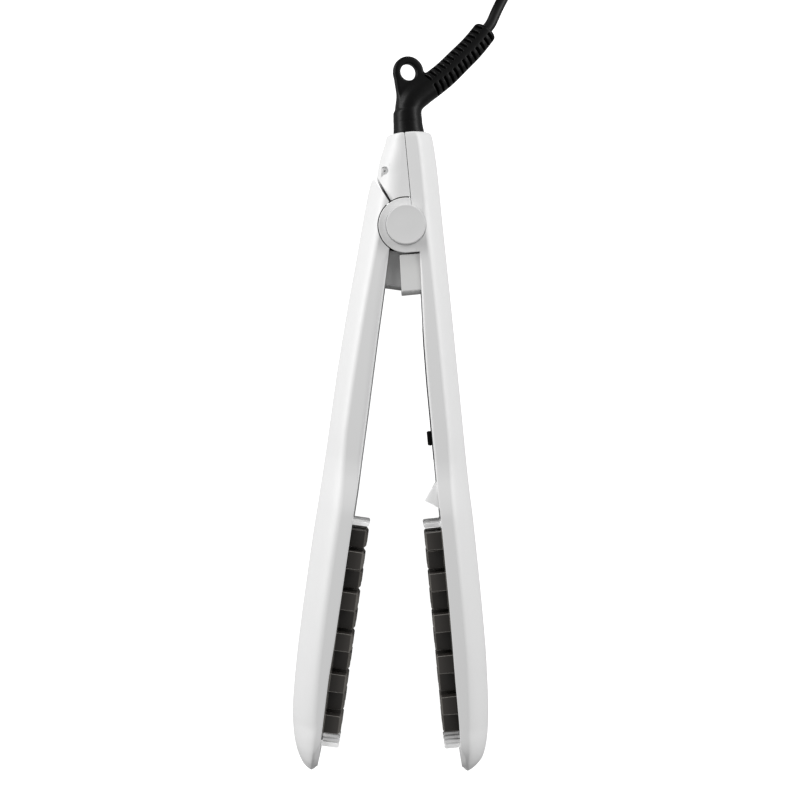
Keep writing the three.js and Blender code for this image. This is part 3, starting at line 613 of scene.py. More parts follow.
# ------------------------------------------------------------------ cord, first
COIL_C = np.array([31.6, 242.0]) + SHIFT[:2]
CORD_R = 2.65
RADII = {"1": 38.4, "2": 33.0, "3": 27.6}
LEVELS = {"A": 4.0, "B": 9.4, "C": 14.8}
TURNS = ["1A", "2A", "3A", "3B", "3C", "2C", "2B", "1B", "1C"]      # radius, then level
CHANGE = [315.5, 309.5, 287.5, 281.5, 259.5, 237.5, 215.5, 193.5]   # where each turn moves over to the next place
ENTRY = -29.0                    # where the lead joins the coil, degrees
EXIT_TURN = 108.0                # how far the last part turn runs, degrees


def ease(t):
    return 0.5 - 0.5 * np.cos(math.pi * np.clip(t, 0, 1))


def coil_points(step=4.0):
    out = []
    for k, name in enumerate(TURNS):
        last = k == len(TURNS) - 1
        for a in np.arange(0, EXIT_TURN + 0.01 if last else 360.0, step):
            r, z = RADII[name[0]], LEVELS[name[1]]
            if not last:
                nxt = TURNS[k + 1]
                w = ease((a - CHANGE[k]) / 85.0 + 0.5)
                r += (RADII[nxt[0]] - r) * w
                z += (LEVELS[nxt[1]] - z) * w
            ang = (ENTRY + a) % 360
            z -= 1.2 * (1 - math.exp(-((ang - 180.0) / 26.0) ** 2))
            t = math.radians(ENTRY + a)
            out.append((COIL_C[0] + r * math.cos(t), COIL_C[1] + r * math.sin(t), z))
    return out


BOOT_LINE = np.array([(0.3, 9.0), (0.5, 11.5), (1.3, 14.3), (3.4, 17.5), (7.8, 20.9), (14.0, 24.8), (20.8, 29.35),
                      (28.66, 35.75), (36.1, 42.0), (42.65, 48.6), (43.95, 50.05)])
boot_path_local = catmull(np.column_stack([BOOT_LINE, np.zeros(len(BOOT_LINE))]), 16)
exit_local = boot_path_local[-1]
exit_dir = boot_path_local[-1] - boot_path_local[-2]
exit_dir /= np.linalg.norm(exit_dir)
EXIT = to_row(exit_local, BOOT)[0]
EXIT_DIR = BOOT[0] @ exit_dir
lead = [EXIT - EXIT_DIR * 1.0, EXIT + EXIT_DIR * 1.5, EXIT + EXIT_DIR * 4.5, np.array([47.6, 191.0, 6.0]) + SHIFT,
        np.array([51.0, 197.7, 4.8]) + SHIFT, np.array([55.0, 204.9, 3.7]) + SHIFT,
        np.array([COIL_C[0] + 38.4 * math.cos(math.radians(ENTRY)) - 9.0 * 0.485,
                  COIL_C[1] + 38.4 * math.sin(math.radians(ENTRY)) - 9.0 * 0.875, 2.95])]
coil = coil_points()
TAIL_Y = COIL_C[1] + 38.45
tail = [(COIL_C[0] - off, TAIL_Y, 13.6 + (6.7 - 13.6) * float(ease((off - 8) / 28.0))) for off in np.arange(4.0, 35.1, 3.0)]
tail.append((COIL_C[0] - 37.5, TAIL_Y, 6.7))
route = np.array([tuple(p) for p in lead] + coil + tail)
route_fine = catmull(route, 4)
cord_points, cord_length = resample(route_fine, 2.2)
near_points, _ = resample(route_fine, 0.45)


def reach(points):
    return np.concatenate([[0.0], np.cumsum(np.linalg.norm(np.diff(points, axis=0), axis=1))])


# The first stretch has its rings close together.
cord_points = np.vstack([near_points[reach(near_points) < 34.0], cord_points[reach(cord_points) > 35.5]])
cord = tube("power_cord", cord_points, CORD_R, 16)
finish_piece(cord, "power_cord", IDENTITY, "fixed_arm", CORD_BLACK, ("cord_lead", "cord_coil", "cord_tail"), angle=60, ride=False)
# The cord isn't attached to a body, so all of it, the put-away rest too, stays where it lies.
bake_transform(cord)

# Tie: a strap round the bundle of turns.
tie_x = COIL_C[0] - 33.0
outline = []
hw, hh, rr = 8.1 + 0.35, 8.1 + 0.45, 2.9
for cx, cz, a0 in ((hw - rr, hh - rr, 0), (-(hw - rr), hh - rr, 90), (-(hw - rr), -(hh - rr), 180), (hw - rr, -(hh - rr), 270)):
    for i in range(13):
        a = math.radians(a0 + i * 7.5)
        outline.append((cx + rr * math.cos(a), cz + rr * math.sin(a), math.cos(a), math.sin(a)))
rings = []
prof = [(0.0, -2.6), (0.0, 2.6), (0.18, 2.95), (0.62, 3.0), (0.85, 2.7), (0.95, 1.2), (0.95, -1.2), (0.85, -2.7), (0.62, -3.0), (0.18, -2.95)]
for x, z, nx, nz in outline:
    rings.append([(tie_x + x + nx * t, COIL_C[1] + w, 9.4 + z + nz * t) for t, w in prof])
rings = np.array(rings)
m, n, _ = rings.shape
verts = rings.reshape(-1, 3)
faces = [(k * n + i, k * n + (i + 1) % n, ((k + 1) % m) * n + (i + 1) % n, ((k + 1) % m) * n + i) for k in range(m) for i in range(n)]
strap = fix_normals(new_object("cord_strap", verts, faces))
finish_piece(strap, "cord_strap", IDENTITY, "fixed_arm", STRAP, "cord_tie")

# Plug.
PX, PY, PZ = -4.4 + SHIFT[0], TAIL_Y, 6.7


def plug_field(p):
    q = p - np.array([PX, PY, PZ])
    x = -q[:, 0]                                   # along the plug, from the cord's side
    rad = np.hypot(q[:, 1], q[:, 2])
    r_cone = 3.3 + 0.9 * np.clip(x / 13.5, 0, 1)
    cone = np.maximum(rad - r_cone, np.maximum(0.2 - x, x - 16.0))
    phase = (x - 2.2) % 2.4
    groove = np.abs(phase - 1.2) - 0.42
    groove = np.where((x > 1.6) & (x < 12.6) & (np.abs(q[:, 1]) > 1.1), groove, 1.0)
    cone = np.maximum(cone, -np.maximum(groove, (r_cone - 0.9) - rad))
    b1 = rounded_box(q, (-20.3, 0, 0), (7.6, 9.8, 5.7), 2.6)
    b2 = rounded_box(q, (-31.0, 0, 0), (10.0, 12.0, 6.5), 1.8)
    body = smin(b1, b2, 2.0)
    # Grip dips on the two broad faces.
    for k in range(4):
        dip = np.hypot(q[:, 0] + 15.5 + 2.9 * k, np.abs(q[:, 2]) - 6.35) - 1.15
        body = smax(body, -np.maximum(dip, np.abs(q[:, 1]) - 6.2), 0.25)
    return smin(cone, body, 0.9)


plug = field_mesh("plug", plug_field, (PX - 42, PY - 13, PZ - 7.2), (PX + 1, PY + 13, PZ + 7.2), 0.35)
finish_piece(plug, "mains_plug", IDENTITY, "fixed_arm", BLACK_FLEX, "plug_body", angle=50)
for i, dy in ((1, -6.35), (2, 6.35)):
    x1, x0 = PX - 41.0, PX - 41.0 - 16.3
    pts = [(x1 + 1.5, -3.15), (x0 + 2.2, -3.15), (x0 + 0.5, -2.2), (x0, -1.0), (x0, 1.0), (x0 + 0.5, 2.2), (x0 + 2.2, 3.15), (x1 + 1.5, 3.15)]
    rr_ = [np.array([(x, PY + dy + y, PZ + z) for x, z in pts]) for y in (-0.75, 0.75)]
    blade = loft(f"blade_{i}", rr_)
    boolean(blade, cylinder("hole", "y", (x0 + 4.6, PZ), 1.55, PY + dy - 2, PY + dy + 2, 32))
    bevel(blade, 0.22, 2, 40)
    finish_piece(blade, f"contact_blade_{i}", IDENTITY, "fixed_arm", BRASS, f"plug_blade_{i}")

# ------------------------------------------------------------------ housing tables: s from hinge to tip, x outwards
FIXED_OUT = [(-43.6, 15.6), (-42.6, 16.2), (-36, 17.0), (-22, 17.5), (0, 17.6), (20, 17.8), (45, 18.0), (75, 18.1), (105, 18.2),
             (125, 18.4), (142, 18.9), (160, 19.1), (180, 19.2), (200, 19.1), (219, 18.4), (234, 17.4), (241.5, 16.4),
             (250.7, 14.2), (256.8, 11.4), (259.4, 8.6), (260.9, 5.4)]
FIXED_IN = [(-43.6, 3.6), (12.6, 3.6), (12.8, 5.3), (31, 4.35), (40, 4.0), (54.6, 3.35), (75, 3.0), (122, 3.0), (140, 3.3), (180, 3.4),
            (215, 2.9), (235, 2.8), (250, 2.2), (261.5, 2.4)]
MOVING_OUT = [(-20.2, 18.9), (-19.0, 19.35), (-10, 20.2), (0.6, 20.7), (18, 21.3), (37.6, 22.2), (57, 22.8), (76.5, 23.2), (105, 23.3),
              (130, 23.6), (154, 24.1), (183, 24.2), (202.6, 24.0), (221.8, 23.3), (236.2, 22.2), (239.5, 21.6), (248.2, 19.4),
              (255, 16.7), (259.4, 14.2), (261.4, 11.9), (262.5, 10.0)]
MOVING_IN = [(-20.2, 6.4), (-6.5, 6.4), (34.8, 6.1), (54, 6.1), (93, 5.8), (128, 5.7), (140, 5.9),
             (159, 6.1), (178, 6.3), (197, 6.5), (216, 7.0), (235, 6.8), (254, 6.6), (263.1, 6.9)]
REAR_OUT = [(-43.6, 5.0), (-42.6, 5.35), (-40, 6.2), (-36.1, 7.9), (-29.2, 10.4), (-24.6, 11.5), (-7.5, 15.6)]


def depth_to(tip):
    return [(-43.6, 16.9), (-42.9, 17.1), (-41, 17.2), (112, 17.2), (119, 17.7), (126, 18.9), (132, 19.9),
            (138, 20.5), (244, 20.5), (tip - 12.5, 20.0), (tip - 9.1, 18.8), (tip - 6.1, 16.9), (tip - 3.4, 13.4), (tip - 1.3, 9.2), (tip, 5.5)]


DEPTH = depth_to(260.9)
MOVING_DEPTH = [(-20.2, 17.05), (-18.5, 17.2)] + depth_to(262.5)[3:]
ROUND_FIXED = [(-43.6, 8.2), (-20, 8.8), (100, 8.8), (138, 10.6), (240, 10.6), (262, 6.0)]
ROUND_MOVING = [(-19.1, 9.2), (100, 9.4), (138, 12.4), (240, 12.4), (262, 6.0)]
ROUND_Z = [(-43.6, 10.4), (-30, 11.4), (100, 11.6), (138, 15.0), (240, 15.0), (258, 12.0), (262.5, 4.5)]
EDGE_MOVING = [(12.7, 0.4), (18, 2.6), (24, 3.4), (60, 3.0), (112, 2.0), (126, 0.5), (247, 0.5), (250.5, 1.9), (263, 2.5)]
EDGE_X = [(12.7, 0.25), (18, 1.3), (24, 2.0), (112, 2.0), (126, 0.5), (247, 0.5), (250.5, 1.9), (263, 2.3)]
EDGE_Z = [(12.7, 0.25), (18, 0.9), (24, 1.25), (112, 1.25), (126, 0.45), (247, 0.45), (250.5, 1.1), (263, 1.3)]
CHEEK_R, CHEEK_GAP_R = 12.96, 13.3


FLATTEN = 1.42        # over 1 makes the wide rounding flatter in its middle than an ellipse


def section(s, a, b, h, rx, rz, cx, cz, arc=18, fil=4, support=0.35, straight=0.0):
    """One ring of a housing: open inner side at x = a, wide flattened rounding at the outer side x = b."""
    half = []
    for i in range(fil + 1):
        t = i / fil * math.pi / 2
        f = i / fil
        half.append((a + cx * ((1 - math.cos(t)) * (1 - straight) + f * straight), h - cz * ((1 - math.sin(t)) * (1 - straight) + (1 - f) * straight)))
    x0, x1 = a + cx, b - rx
    w = x1 - x0
    for f in (min(0.3, support / max(w, 1e-6)), 0.35, 0.65, 1 - min(0.3, support / max(w, 1e-6))):
        half.append((x0 + w * f, h))
    for i in range(arc + 1):
        t = i / arc * math.pi / 2
        half.append((b - rx * (1 - math.sin(t) ** FLATTEN), h - rz * (1 - math.cos(t) ** FLATTEN)))
    half.append((b, (h - rz) * 0.45))
    ring = [(x, -s, z) for x, z in half] + [(x, -s, -z) for x, z in reversed(half)]
    inner = h - cz
    ring += [(a, -s, z) for z in (-inner + 0.4, -inner * 0.5, 0.0, inner * 0.5, inner - 0.4)]
    return np.array(ring)


def station_list(s0, s1, step, *dense):
    out = list(np.arange(s0, s1, step)) + [s1]
    for a, b, st in dense:
        out = [v for v in out if v < a or v > b] + list(np.arange(a, b, st)) + [b]
    return sorted(set(round(float(v), 4) for v in out))


def end_inset(s, s0, s1, r0, r1):
    e = 0.0
    if s < s0 + r0:
        e = max(e, r0 - math.sqrt(max(r0 * r0 - (s0 + r0 - s) ** 2, 0)))
    if s > s1 - r1:
        e = max(e, r1 - math.sqrt(max(r1 * r1 - (s - s1 + r1) ** 2, 0)))
    return e


def housing_outer(name, out, inn, depth, round_x, edge, s0, s1, stations, r0, r1, low, slant, width):
    rings = []
    for s in stations:
        e = end_inset(s, s0, s1, r0, r1)
        a = float(np.interp(s, [p[0] for p in inn], [p[1] for p in inn])) + e
        b = float(pchip(out, s)) - e
        h = float(pchip(depth, s)) - e
        cx = min(lin(edge, s), (b - a) * 0.42)
        cz = min(lin(EDGE_Z, s), h * 0.3)
        rx = min(lin(round_x, s), (b - a - cx) * 0.9)
        rz = min(lin(ROUND_Z, s), h - 1.2)
        ring = section(s, a, b, h, rx, rz, cx, cz, straight=float(smooth01((s - 246) / 5)))
        # The end runs back slantwise to the inner corner, from the point that reaches furthest.
        if s > s1 - 5:
            k = float(smooth01((s - (s1 - 5)) / 5))
            ring[:, 1] += k * slant * np.clip((low - ring[:, 0]) / width, 0, 1)
        rings.append(ring)
    return loft(name, rings)


def hollow(name, out, inn, depth, round_x, stations, lift, inset):
    rings = []
    for s in stations:
        wall = 2.0 + (1.4 - 2.0) * min(max((s - 118) / 16, 0), 1)
        a = lin(inn, s) + lift
        b = float(pchip(out, s)) - 2.0 - inset
        h = float(pchip(depth, s)) - wall - inset
        rx = min(lin(round_x, s) - 2.2, (b - a) * 0.8)
        rz = min(lin(ROUND_Z, s) - 2.4, h - 1)
        rings.append(section(s, a, b, h, rx, rz, 0.2, 0.2, arc=8, fil=1))
    return loft(name, rings)


def post(s, x0, x1, r=3.0):
    return cylinder("post", "x", (-s, 0), r, x0, x1, 24)


def plate_outline(bevel_in, z):
    """Hinge cheek: a disc about the hinge with a squared foot against the arm."""
    r = CHEEK_R - bevel_in
    pts = [(6.0, 11.6), (5.0, math.sqrt(max(r * r - 25, 0)))]
    a0, a1 = math.atan2(pts[1][1], 5.0), math.radians(-95.4)
    for i in range(1, 91):
        t = a0 + (2 * math.pi + a1 - a0) * i / 90
        pts.append((r * math.cos(t), r * math.sin(t)))
    pts += [(6.9 - bevel_in, -13.12 + bevel_in * 1.3), (7.2 - bevel_in, -12.7 + bevel_in)]
    return np.array([(x, y, z) for x, y in pts])


def cheek(sign):
    levels = [(0.25, 15.2), (0.06, 15.26), (0.0, 15.45), (0.0, 16.75), (0.03, 16.93), (0.12, 17.08), (0.25, 17.15), (0.42, 17.17)]
    rings = [plate_outline(b, z * sign) for b, z in levels]
    return loft("cheek", rings)


FIXED_STATIONS = station_list(-43.6, 260.9, 4.0, (-43.6, -34, 0.6), (10, 26, 1.5), (108, 142, 2.0), (238, 254, 1.5), (254, 260.9, 0.5))
FIXED_STATIONS = sorted(set(FIXED_STATIONS + [-43.45, -43.55, 12.6, 12.8, 260.65, 260.8, 260.87]))
MOVING_STATIONS = station_list(-20.2, 262.5, 4.0, (-20.2, -4, 1.5), (10, 26, 1.5), (108, 142, 2.0), (238, 254, 1.5), (254, 262.5, 0.5))
MOVING_STATIONS = sorted(set(MOVING_STATIONS + [-20.15, -20.05, -19.9, 262.25, 262.4, 262.47]))

# Fixed arm: one moulding from the rear housing to the tip, with the two hinge cheeks.
shell = housing_outer("fixed_shell", FIXED_OUT, FIXED_IN, DEPTH, ROUND_FIXED, EDGE_X, -43.6, 260.9, FIXED_STATIONS, 0.5, 0.5, 4.9, 2.4, 2.4)
inside = [-41.4, -40, -36, -29, -22, -12, 0, 12.6, 12.8, 20, 34, 54, 75, 100, 112, 119, 126, 132, 138, 150, 166, 183, 200, 216, 230, 239.5, 245, 247.9]
boolean(shell, hollow("main", FIXED_OUT, FIXED_IN, DEPTH, ROUND_FIXED, inside, -3, 0))
boolean(shell, hollow("tip", FIXED_OUT, FIXED_IN, DEPTH, ROUND_FIXED, [245.6, 250, 254, 256.5], 2.6, 0.8))
for sgn in (1, -1):
    boolean(shell, cheek(sgn), "UNION")
for s in (44, 117):
    boolean(shell, post(s, 6.0, lin(FIXED_OUT, s) - 1.4), "UNION")
    boolean(shell, cylinder("bore", "x", (-s, 0), 1.3, 4, 14, 20))
boolean(shell, cylinder("pin_bore", "z", (0, 0), 3.2, -20, 20, 48))
boolean(shell, cylinder("swivel_bore", "y", (5.7, 0), 6.7, 38, 46, 64))
# The caps sit in shallow seats, and the seam goes on a little way over the cheek.
for sgn in (1, -1):
    boolean(shell, cylinder("cap_seat", "z", (0, 0), 9.62, min(16.6 * sgn, 19.0 * sgn), max(16.6 * sgn, 19.0 * sgn), 128))
    boolean(shell, box("groove", 3.3, 3.58, 9.3, 13.2, 16.75 * sgn, 18.0 * sgn) if sgn > 0 else box("groove", 3.3, 3.58, 9.3, 13.2, -18.0, -16.75))
finish_piece(shell, "fixed_arm_shell", FIXED, "fixed_arm", WHITE, "fixed_outer_shell", angle=25, weighted=True)

# Moving arm.
mshell = housing_outer("moving_shell", MOVING_OUT, MOVING_IN, MOVING_DEPTH, ROUND_MOVING, EDGE_MOVING, -20.2, 262.5, MOVING_STATIONS, 0.35, 0.5, 9.5, 2.4, 2.55)
inside = [-16.9, -12, -6, 0, 10, 20, 34.8, 54, 75, 100, 112, 119, 126, 132, 138, 150, 166, 183, 200, 216, 230, 239.5, 245, 247.9]
boolean(mshell, hollow("main", MOVING_OUT, MOVING_IN, MOVING_DEPTH, ROUND_MOVING, inside, -3, 0))
boolean(mshell, hollow("tip", MOVING_OUT, MOVING_IN, MOVING_DEPTH, ROUND_MOVING, [245.6, 250, 254, 257.5], 2.6, 0.8))
for s in (44, 117):
    boolean(mshell, post(s, 8.3, lin(MOVING_OUT, s) - 1.4), "UNION")
    boolean(mshell, cylinder("bore", "x", (-s, 0), 1.3, 6, 17, 20))
boolean(mshell, extrude("tail_cut", [(17.9, 20.7), (17.3, 19.3), (15.2, 16.7), (9.3, 9.7), (6.0, 5.9), (-2, 5.9), (-2, 25), (17.9, 25)], -22, 22))
boolean(mshell, cylinder("cheek_gap", "z", (0, 0), CHEEK_GAP_R + 0.15, -20, 20, 160))
finish_piece(mshell, "moving_arm_shell", MOVING, "moving_arm", WHITE, "moving_outer_shell", angle=25, weighted=True)

# Rear cover: the left half of the rear housing, drawn outwards to -x.
def rear_ring(s, lift, e, x_in, depth_cut):
    b = float(pchip(REAR_OUT, s)) - lift - e
    h = float(pchip(DEPTH, s)) - depth_cut - e
    a = x_in + e
    rx = min(lin([(-43.6, 7.9), (-36, 9.6), (-25, 11.6), (-7, 12.6)], s), (b - a) * 0.88)
    rz = lin([(-43.6, 7.2), (-25, 8.2), (-7, 8.8)], s)
    if lift:
        rx, rz = max(rx - 1.4, 0.3), max(rz - 1.4, 0.3)
    return section(s, a, b, h, rx, min(rz, h - 1), 0.25 if lift == 0 else 0.2, 0.25 if lift == 0 else 0.2, arc=14, fil=3)


rear_st = station_list(-43.6, -7.5, 1.5, (-43.6, -41, 0.4))
rear = loft("rear_cover_mesh", [rear_ring(s, 0.0, end_inset(s, -43.6, -7.5, 0.5, 0.2), -3.3, 0.0) for s in rear_st])
inner = loft("rear_inner", [rear_ring(s, 1.6, 0.0, -6.5, 2.0) for s in (-41.4, -40, -36.1, -32, -29.2, -25, -16, -7.6)])
# The slanting edge beside the moving arm's tail, with a wall behind it.
edge_a, edge_b = np.array([11.45, 24.75]), np.array([3.3, 6.4])
edge_n = np.array([edge_b[1] - edge_a[1], edge_a[0] - edge_b[0]])
edge_n /= -np.linalg.norm(edge_n)


def beside_edge(off):
    a, b = edge_a - edge_n * off, edge_b - edge_n * off
    d = (a - b) / np.linalg.norm(a - b)
    return extrude("beside", [tuple(b - d * 6), tuple(a + d * 30), tuple(a + d * 30 + edge_n * 40), tuple(b - d * 6 + edge_n * 40)], -24, 24)


for ob, off in ((rear, 0.0), (inner, 1.6)):
    cut_part = beside_edge(off)
    if off == 0.0:
        boolean(cut_part, box("above", -60, 60, 24.75, 90, -30, 30))
    else:
        boolean(cut_part, box("above", -60, 60, 24.75 + 1.5, 90, -30, 30))
    boolean(ob, cut_part)
for ob in (rear, inner):
    ob.data.transform(Matrix.Scale(-1, 4, (1, 0, 0)))
    ob.data.flip_normals()
keep_outer = rear.copy()
keep_outer.data = rear.data.copy()
scene.collection.objects.link(keep_outer)
boolean(rear, inner)
boss = cylinder("boss", "z", (-7.5, 26.8), 3.4, 9.4, 16.6, 48)
boolean(boss, keep_outer, "INTERSECT")
boolean(rear, boss, "UNION")
boolean(rear, cylinder("cheek_gap", "z", (0, 0), CHEEK_GAP_R + 0.2, -20, 20, 160))
boolean(rear, cylinder("swivel_bore", "y", (5.7, 0), 6.7, 38, 46, 64))
# The screw's recess is a drop shape, wide at the top and drawn out to a point towards the cover's corner.
drop_c, drop_p = np.array([-7.75, 27.0]), np.array([-10.45, 24.0])
levels = [(11.9, 0.0), (13.2, 0.03), (16.0, 0.25), (20.0, 0.35)]
dirn = math.atan2(*(drop_p - drop_c)[::-1])
recess_rings = []
for z, grow in levels:
    ring = []
    for i in range(41):
        ang = dirn + math.radians(58) + math.radians(244) * i / 40
        ring.append((*(drop_c + (1.85 + grow) * np.array([math.cos(ang), math.sin(ang)])), z))
    for i in range(9):
        ang = dirn - math.radians(58) + math.radians(116) * i / 8
        ring.append((*(drop_p + (0.45 + grow) * np.array([math.cos(ang), math.sin(ang)])), z))
    recess_rings.append(ring)
boolean(rear, loft("recess", recess_rings))
boolean(rear, cylinder("bore", "z", (-7.5, 26.8), 1.15, 8, 20, 24))
finish_piece(rear, "rear_housing_cover", FIXED, "fixed_arm", WHITE, "rear_cover", angle=32, weighted=True)


# Screws with a cross recess.
def screw(name, head_r, head_h, shank_r, length, place, body, replaces, material=None):
    """Pan head along -z from its head, head top at z = 0."""
    prof = [(0, -length), (shank_r * 0.35, -length + 0.15), (shank_r, -length + 1.3)]
    z = -length + 1.5
    while z < -head_h - 0.45:
        prof += [(shank_r, z), (shank_r * 0.80, z + 0.22), (shank_r, z + 0.44)]
        z += 0.55
    prof += [(shank_r, -head_h), (head_r * 0.97, -head_h), (head_r, -head_h * 0.85), (head_r, -head_h * 0.5), (head_r * 0.93, -head_h * 0.26),
             (head_r * 0.74, -head_h * 0.08), (head_r * 0.4, -0.01), (0, 0.0)]
    ob = lathe(name, prof, "z", 36)
    for ang in (0, 90):
        slot_ = loft("cross", [np.array([(x * w, y * l, z) for x, y in ((-1, -1), (1, -1), (1, 1), (-1, 1))])
                               for w, l, z in ((0.12, head_r * 0.22, -head_h * 0.8), (0.2, head_r * 0.55, 0.2))])
        slot_.data.transform(Matrix.Rotation(math.radians(ang + 20), 4, "Z"))
        boolean(ob, slot_)
    finish_piece(ob, name, place, body, material or STEEL, replaces, angle=40)
    return ob


def sub_place(place, r, t):
    """A place inside another: turned by r, then moved by t, in the outer place's own millimetres."""
    return (place[0] @ r, place[0] @ np.array(t, float) + place[1])


screw("rear_screw", 1.45, 0.7, 0.95, 6.5, sub_place(FIXED, np.eye(3), (-7.5, 26.8, 12.35)), "fixed_arm", "rear_cover_screw", PAINTED)

# Hinge caps.
cap_profile = [(0, 16.65), (9.2, 16.65), (9.3, 16.75), (9.3, 17.95), (9.3, 20.05), (9.28, 20.2), (9.22, 20.33), (9.12, 20.43),
               (8.99, 20.49), (8.84, 20.5), (8.6, 20.5), (8.4, 20.47), (8.2, 20.45), (4.0, 20.45), (0, 20.45)]
for name, node, sgn in (("hinge_disc_near", "hinge_cap_near", 1), ("hinge_disc_far", "hinge_cap_far", -1)):
    cap = lathe(name, cap_profile, "z", 128)
    if sgn < 0:
        cap.data.transform(Matrix.Rotation(math.pi, 4, "X"))
    finish_piece(cap, name, FIXED, "fixed_arm", CAP_GREY, node, angle=50)


# Guards beside the hinge.
def guard(name, x0, x1, s0, s1, hz, xi, si, hzi, place, body, material, node, ribs, lean=0.0, round_end=0.5):
    g = box(name, x0, x1, -s1, -s0, -hz, hz)
    for v in g.data.vertices:
        if lean and v.co.y > -s0 - 0.1:
            v.co.x += lean
    boolean(g, box("in", -10, xi, -si, -(s0 - 4), -hzi, hzi))
    # Ribs inside, one at each listed height (two on the moving guard).
    for z in ribs:
        boolean(g, box("rib", x0 + 4.5, xi + 0.6, -si - 0.6, -s0 - 1.0, z - 0.5, z + 0.5), "UNION")
    outside = lambda e: min(abs(v.co.z) for v in e.verts) > hz - 0.05 and max(v.co.y for v in e.verts) < -s1 + 0.05
    bevel(g, round_end, 6, 40, only=outside)
    bevel(g, 0.22, 3, 40)
    finish_piece(g, name, place, body, material, node, angle=35, weighted=True)
    return g


guard("fixed_guard", -5.0, 4.6, 13.75, 31.0, 16.3, 6.5, 29.6, 14.8, FIXED, "fixed_arm", GUARD_GREY, "fixed_hinge_guard", (), lean=0.7, round_end=0.5)
guard("moving_guard", -3.4, 7.5, 12.7, 28.9, 14.2, 6.1, 27.7, 12.9, MOVING, "moving_arm", GUARD_DARK, "moving_hinge_guard", (13.3, -13.3))

# Opening spring.
spring_a, spring_b = np.array([3.0, -21.9, 0.0]), np.array([-10.0, -20.9, 0.0])
axis = (spring_b - spring_a) / np.linalg.norm(spring_b - spring_a)
side = np.array([-axis[1], axis[0], 0.0])
length = np.linalg.norm(spring_b - spring_a)
pts = []
for i in range(6 * 28 + 1):
    f = i / (6 * 28)
    turn = f * 6
    adv = np.interp(turn, [0, 0.8, 5.2, 6], [0.06, 0.12, 0.88, 0.94])
    ang = turn * 2 * math.pi
    pts.append(spring_a + axis * length * adv + side * 4.2 * math.cos(ang) + np.array([0, 0, 4.2 * math.sin(ang)]))
spring = tube("spring", pts, 0.5, 10)
finish_piece(spring, "hinge_spring", FIXED, "fixed_arm", STEEL, "opening_spring", angle=60, ride=False)
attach(spring, "fixed_arm")
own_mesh(spring)

# Leaf springs behind the plates: each gets a mesh of its own.
for leaf, joint, place in (("fixed_plate_spring", "fixed_plate_slide", FIXED), ("moving_plate_spring", "moving_plate_slide", MOVING)):
    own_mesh(NODES[leaf])


# ------------------------------------------------------------------ inner covers
def cover(name, inn, place, body, node, tooth=False, strip_slot=False):
    ss = np.array([33.5, 40, 48, 54, 61, 68, 75, 84, 93, 102, 112, 122, 131, 139.6])
    face = np.array([lin(inn, s) + 0.25 for s in ss])
    rings = []
    half, r = 14.8, 0.6
    for s, f in zip(ss, face):
        # face side corners as quarter rounds, back side square
        top = [(f + r - r * math.sin(math.radians(i * 18)), half - r + r * math.cos(math.radians(i * 18))) for i in range(6)]
        bot = [(f + r - r * math.cos(math.radians(i * 18)), -(half - r) - r * math.sin(math.radians(i * 18))) for i in range(6)]
        ring = [(f + 1.8, half)] + top + bot + [(f + 1.8, -half)]
        rings.append([(x, -s, z) for x, z in ring])
    ob = loft(name, rings)
    if tooth:
        out = [(4.2, -120.6), (2.6, -122.0)]
        # a curved upper edge to a small rounded point, and a concave lower edge
        for i in range(13):
            t = i / 12
            out.append((2.6 + (-3.0 - 2.6) * t, -122.0 - (129.1 - 122.0) * t + 0.25 * math.sin(math.pi * t)))
        out += [(-3.22, -129.5), (-3.24, -129.8), (-3.05, -130.1)]
        for i in range(1, 11):
            t = i / 10
            out.append((-3.05 + (4.2 + 3.05) * t, -130.1 - (135.2 - 130.1) * t + 0.45 * math.sin(math.pi * t)))
        # It reaches both sides of the arm, with a root as deep as the cover.
        # Moulding draft: the outline shrinks away from the side that faces up.
        rings = []
        for z, k in ((-17.0, 0.70), (11.0, 0.96), (14.5, 1.0), (16.9, 1.0), (17.05, 0.985), (17.1, 0.96)):
            rings.append([(4.2 + (x - 4.2) * k, -128.0 + (y + 128.0) * (1 - (1 - k) * 0.6), z) for x, y in out])
        tooth_ob = loft("tooth", rings)
        root = extrude("root", [(5.2, -122.4), (3.7, -123.2), (3.3, -124.0), (3.3, -131.8), (3.7, -132.6), (5.2, -133.6)], -14.6, 14.6)
        boolean(ob, tooth_ob, "UNION")
        boolean(ob, root, "UNION")
    if strip_slot:
        boolean(ob, box("slot", 1, 9, -108.4, -94.0, -3.2, 3.2))
    for s in (44, 117):
        boolean(ob, cylinder("bore", "x", (-s, 0), 1.3, 0, 12, 24))
        f = lin(inn, s) + 0.25
        boolean(ob, lathe("recess", [(0, f + 1.1), (2.35, f + 1.1), (2.5, f + 0.95), (2.5, f + 0.2), (2.75, f - 0.05), (2.75, f - 1), (0, f - 1)], "x", 40, (0, -s, 0)))
    finish_piece(ob, name, place, body, WHITE_COVER, node, angle=30, weighted=True)


cover("fixed_cover", FIXED_IN, FIXED, "fixed_arm", "fixed_inner_cover", tooth=True, strip_slot=True)
cover("moving_cover", MOVING_IN, MOVING, "moving_arm", "moving_inner_cover")
for i, s in enumerate((44, 117), 1):
    screw(f"fixed_screw_{i}", 2.1, 0.8, 1.0, 8, sub_place(FIXED, rot_y(-90), (lin(FIXED_IN, s) + 0.35, -s, 0)), "fixed_arm", f"fixed_cover_screw_{i}")
    screw(f"moving_screw_{i}", 2.1, 0.8, 1.0, 8, sub_place(MOVING, rot_y(-90), (lin(MOVING_IN, s) + 0.35, -s, 0)), "moving_arm", f"moving_cover_screw_{i}")

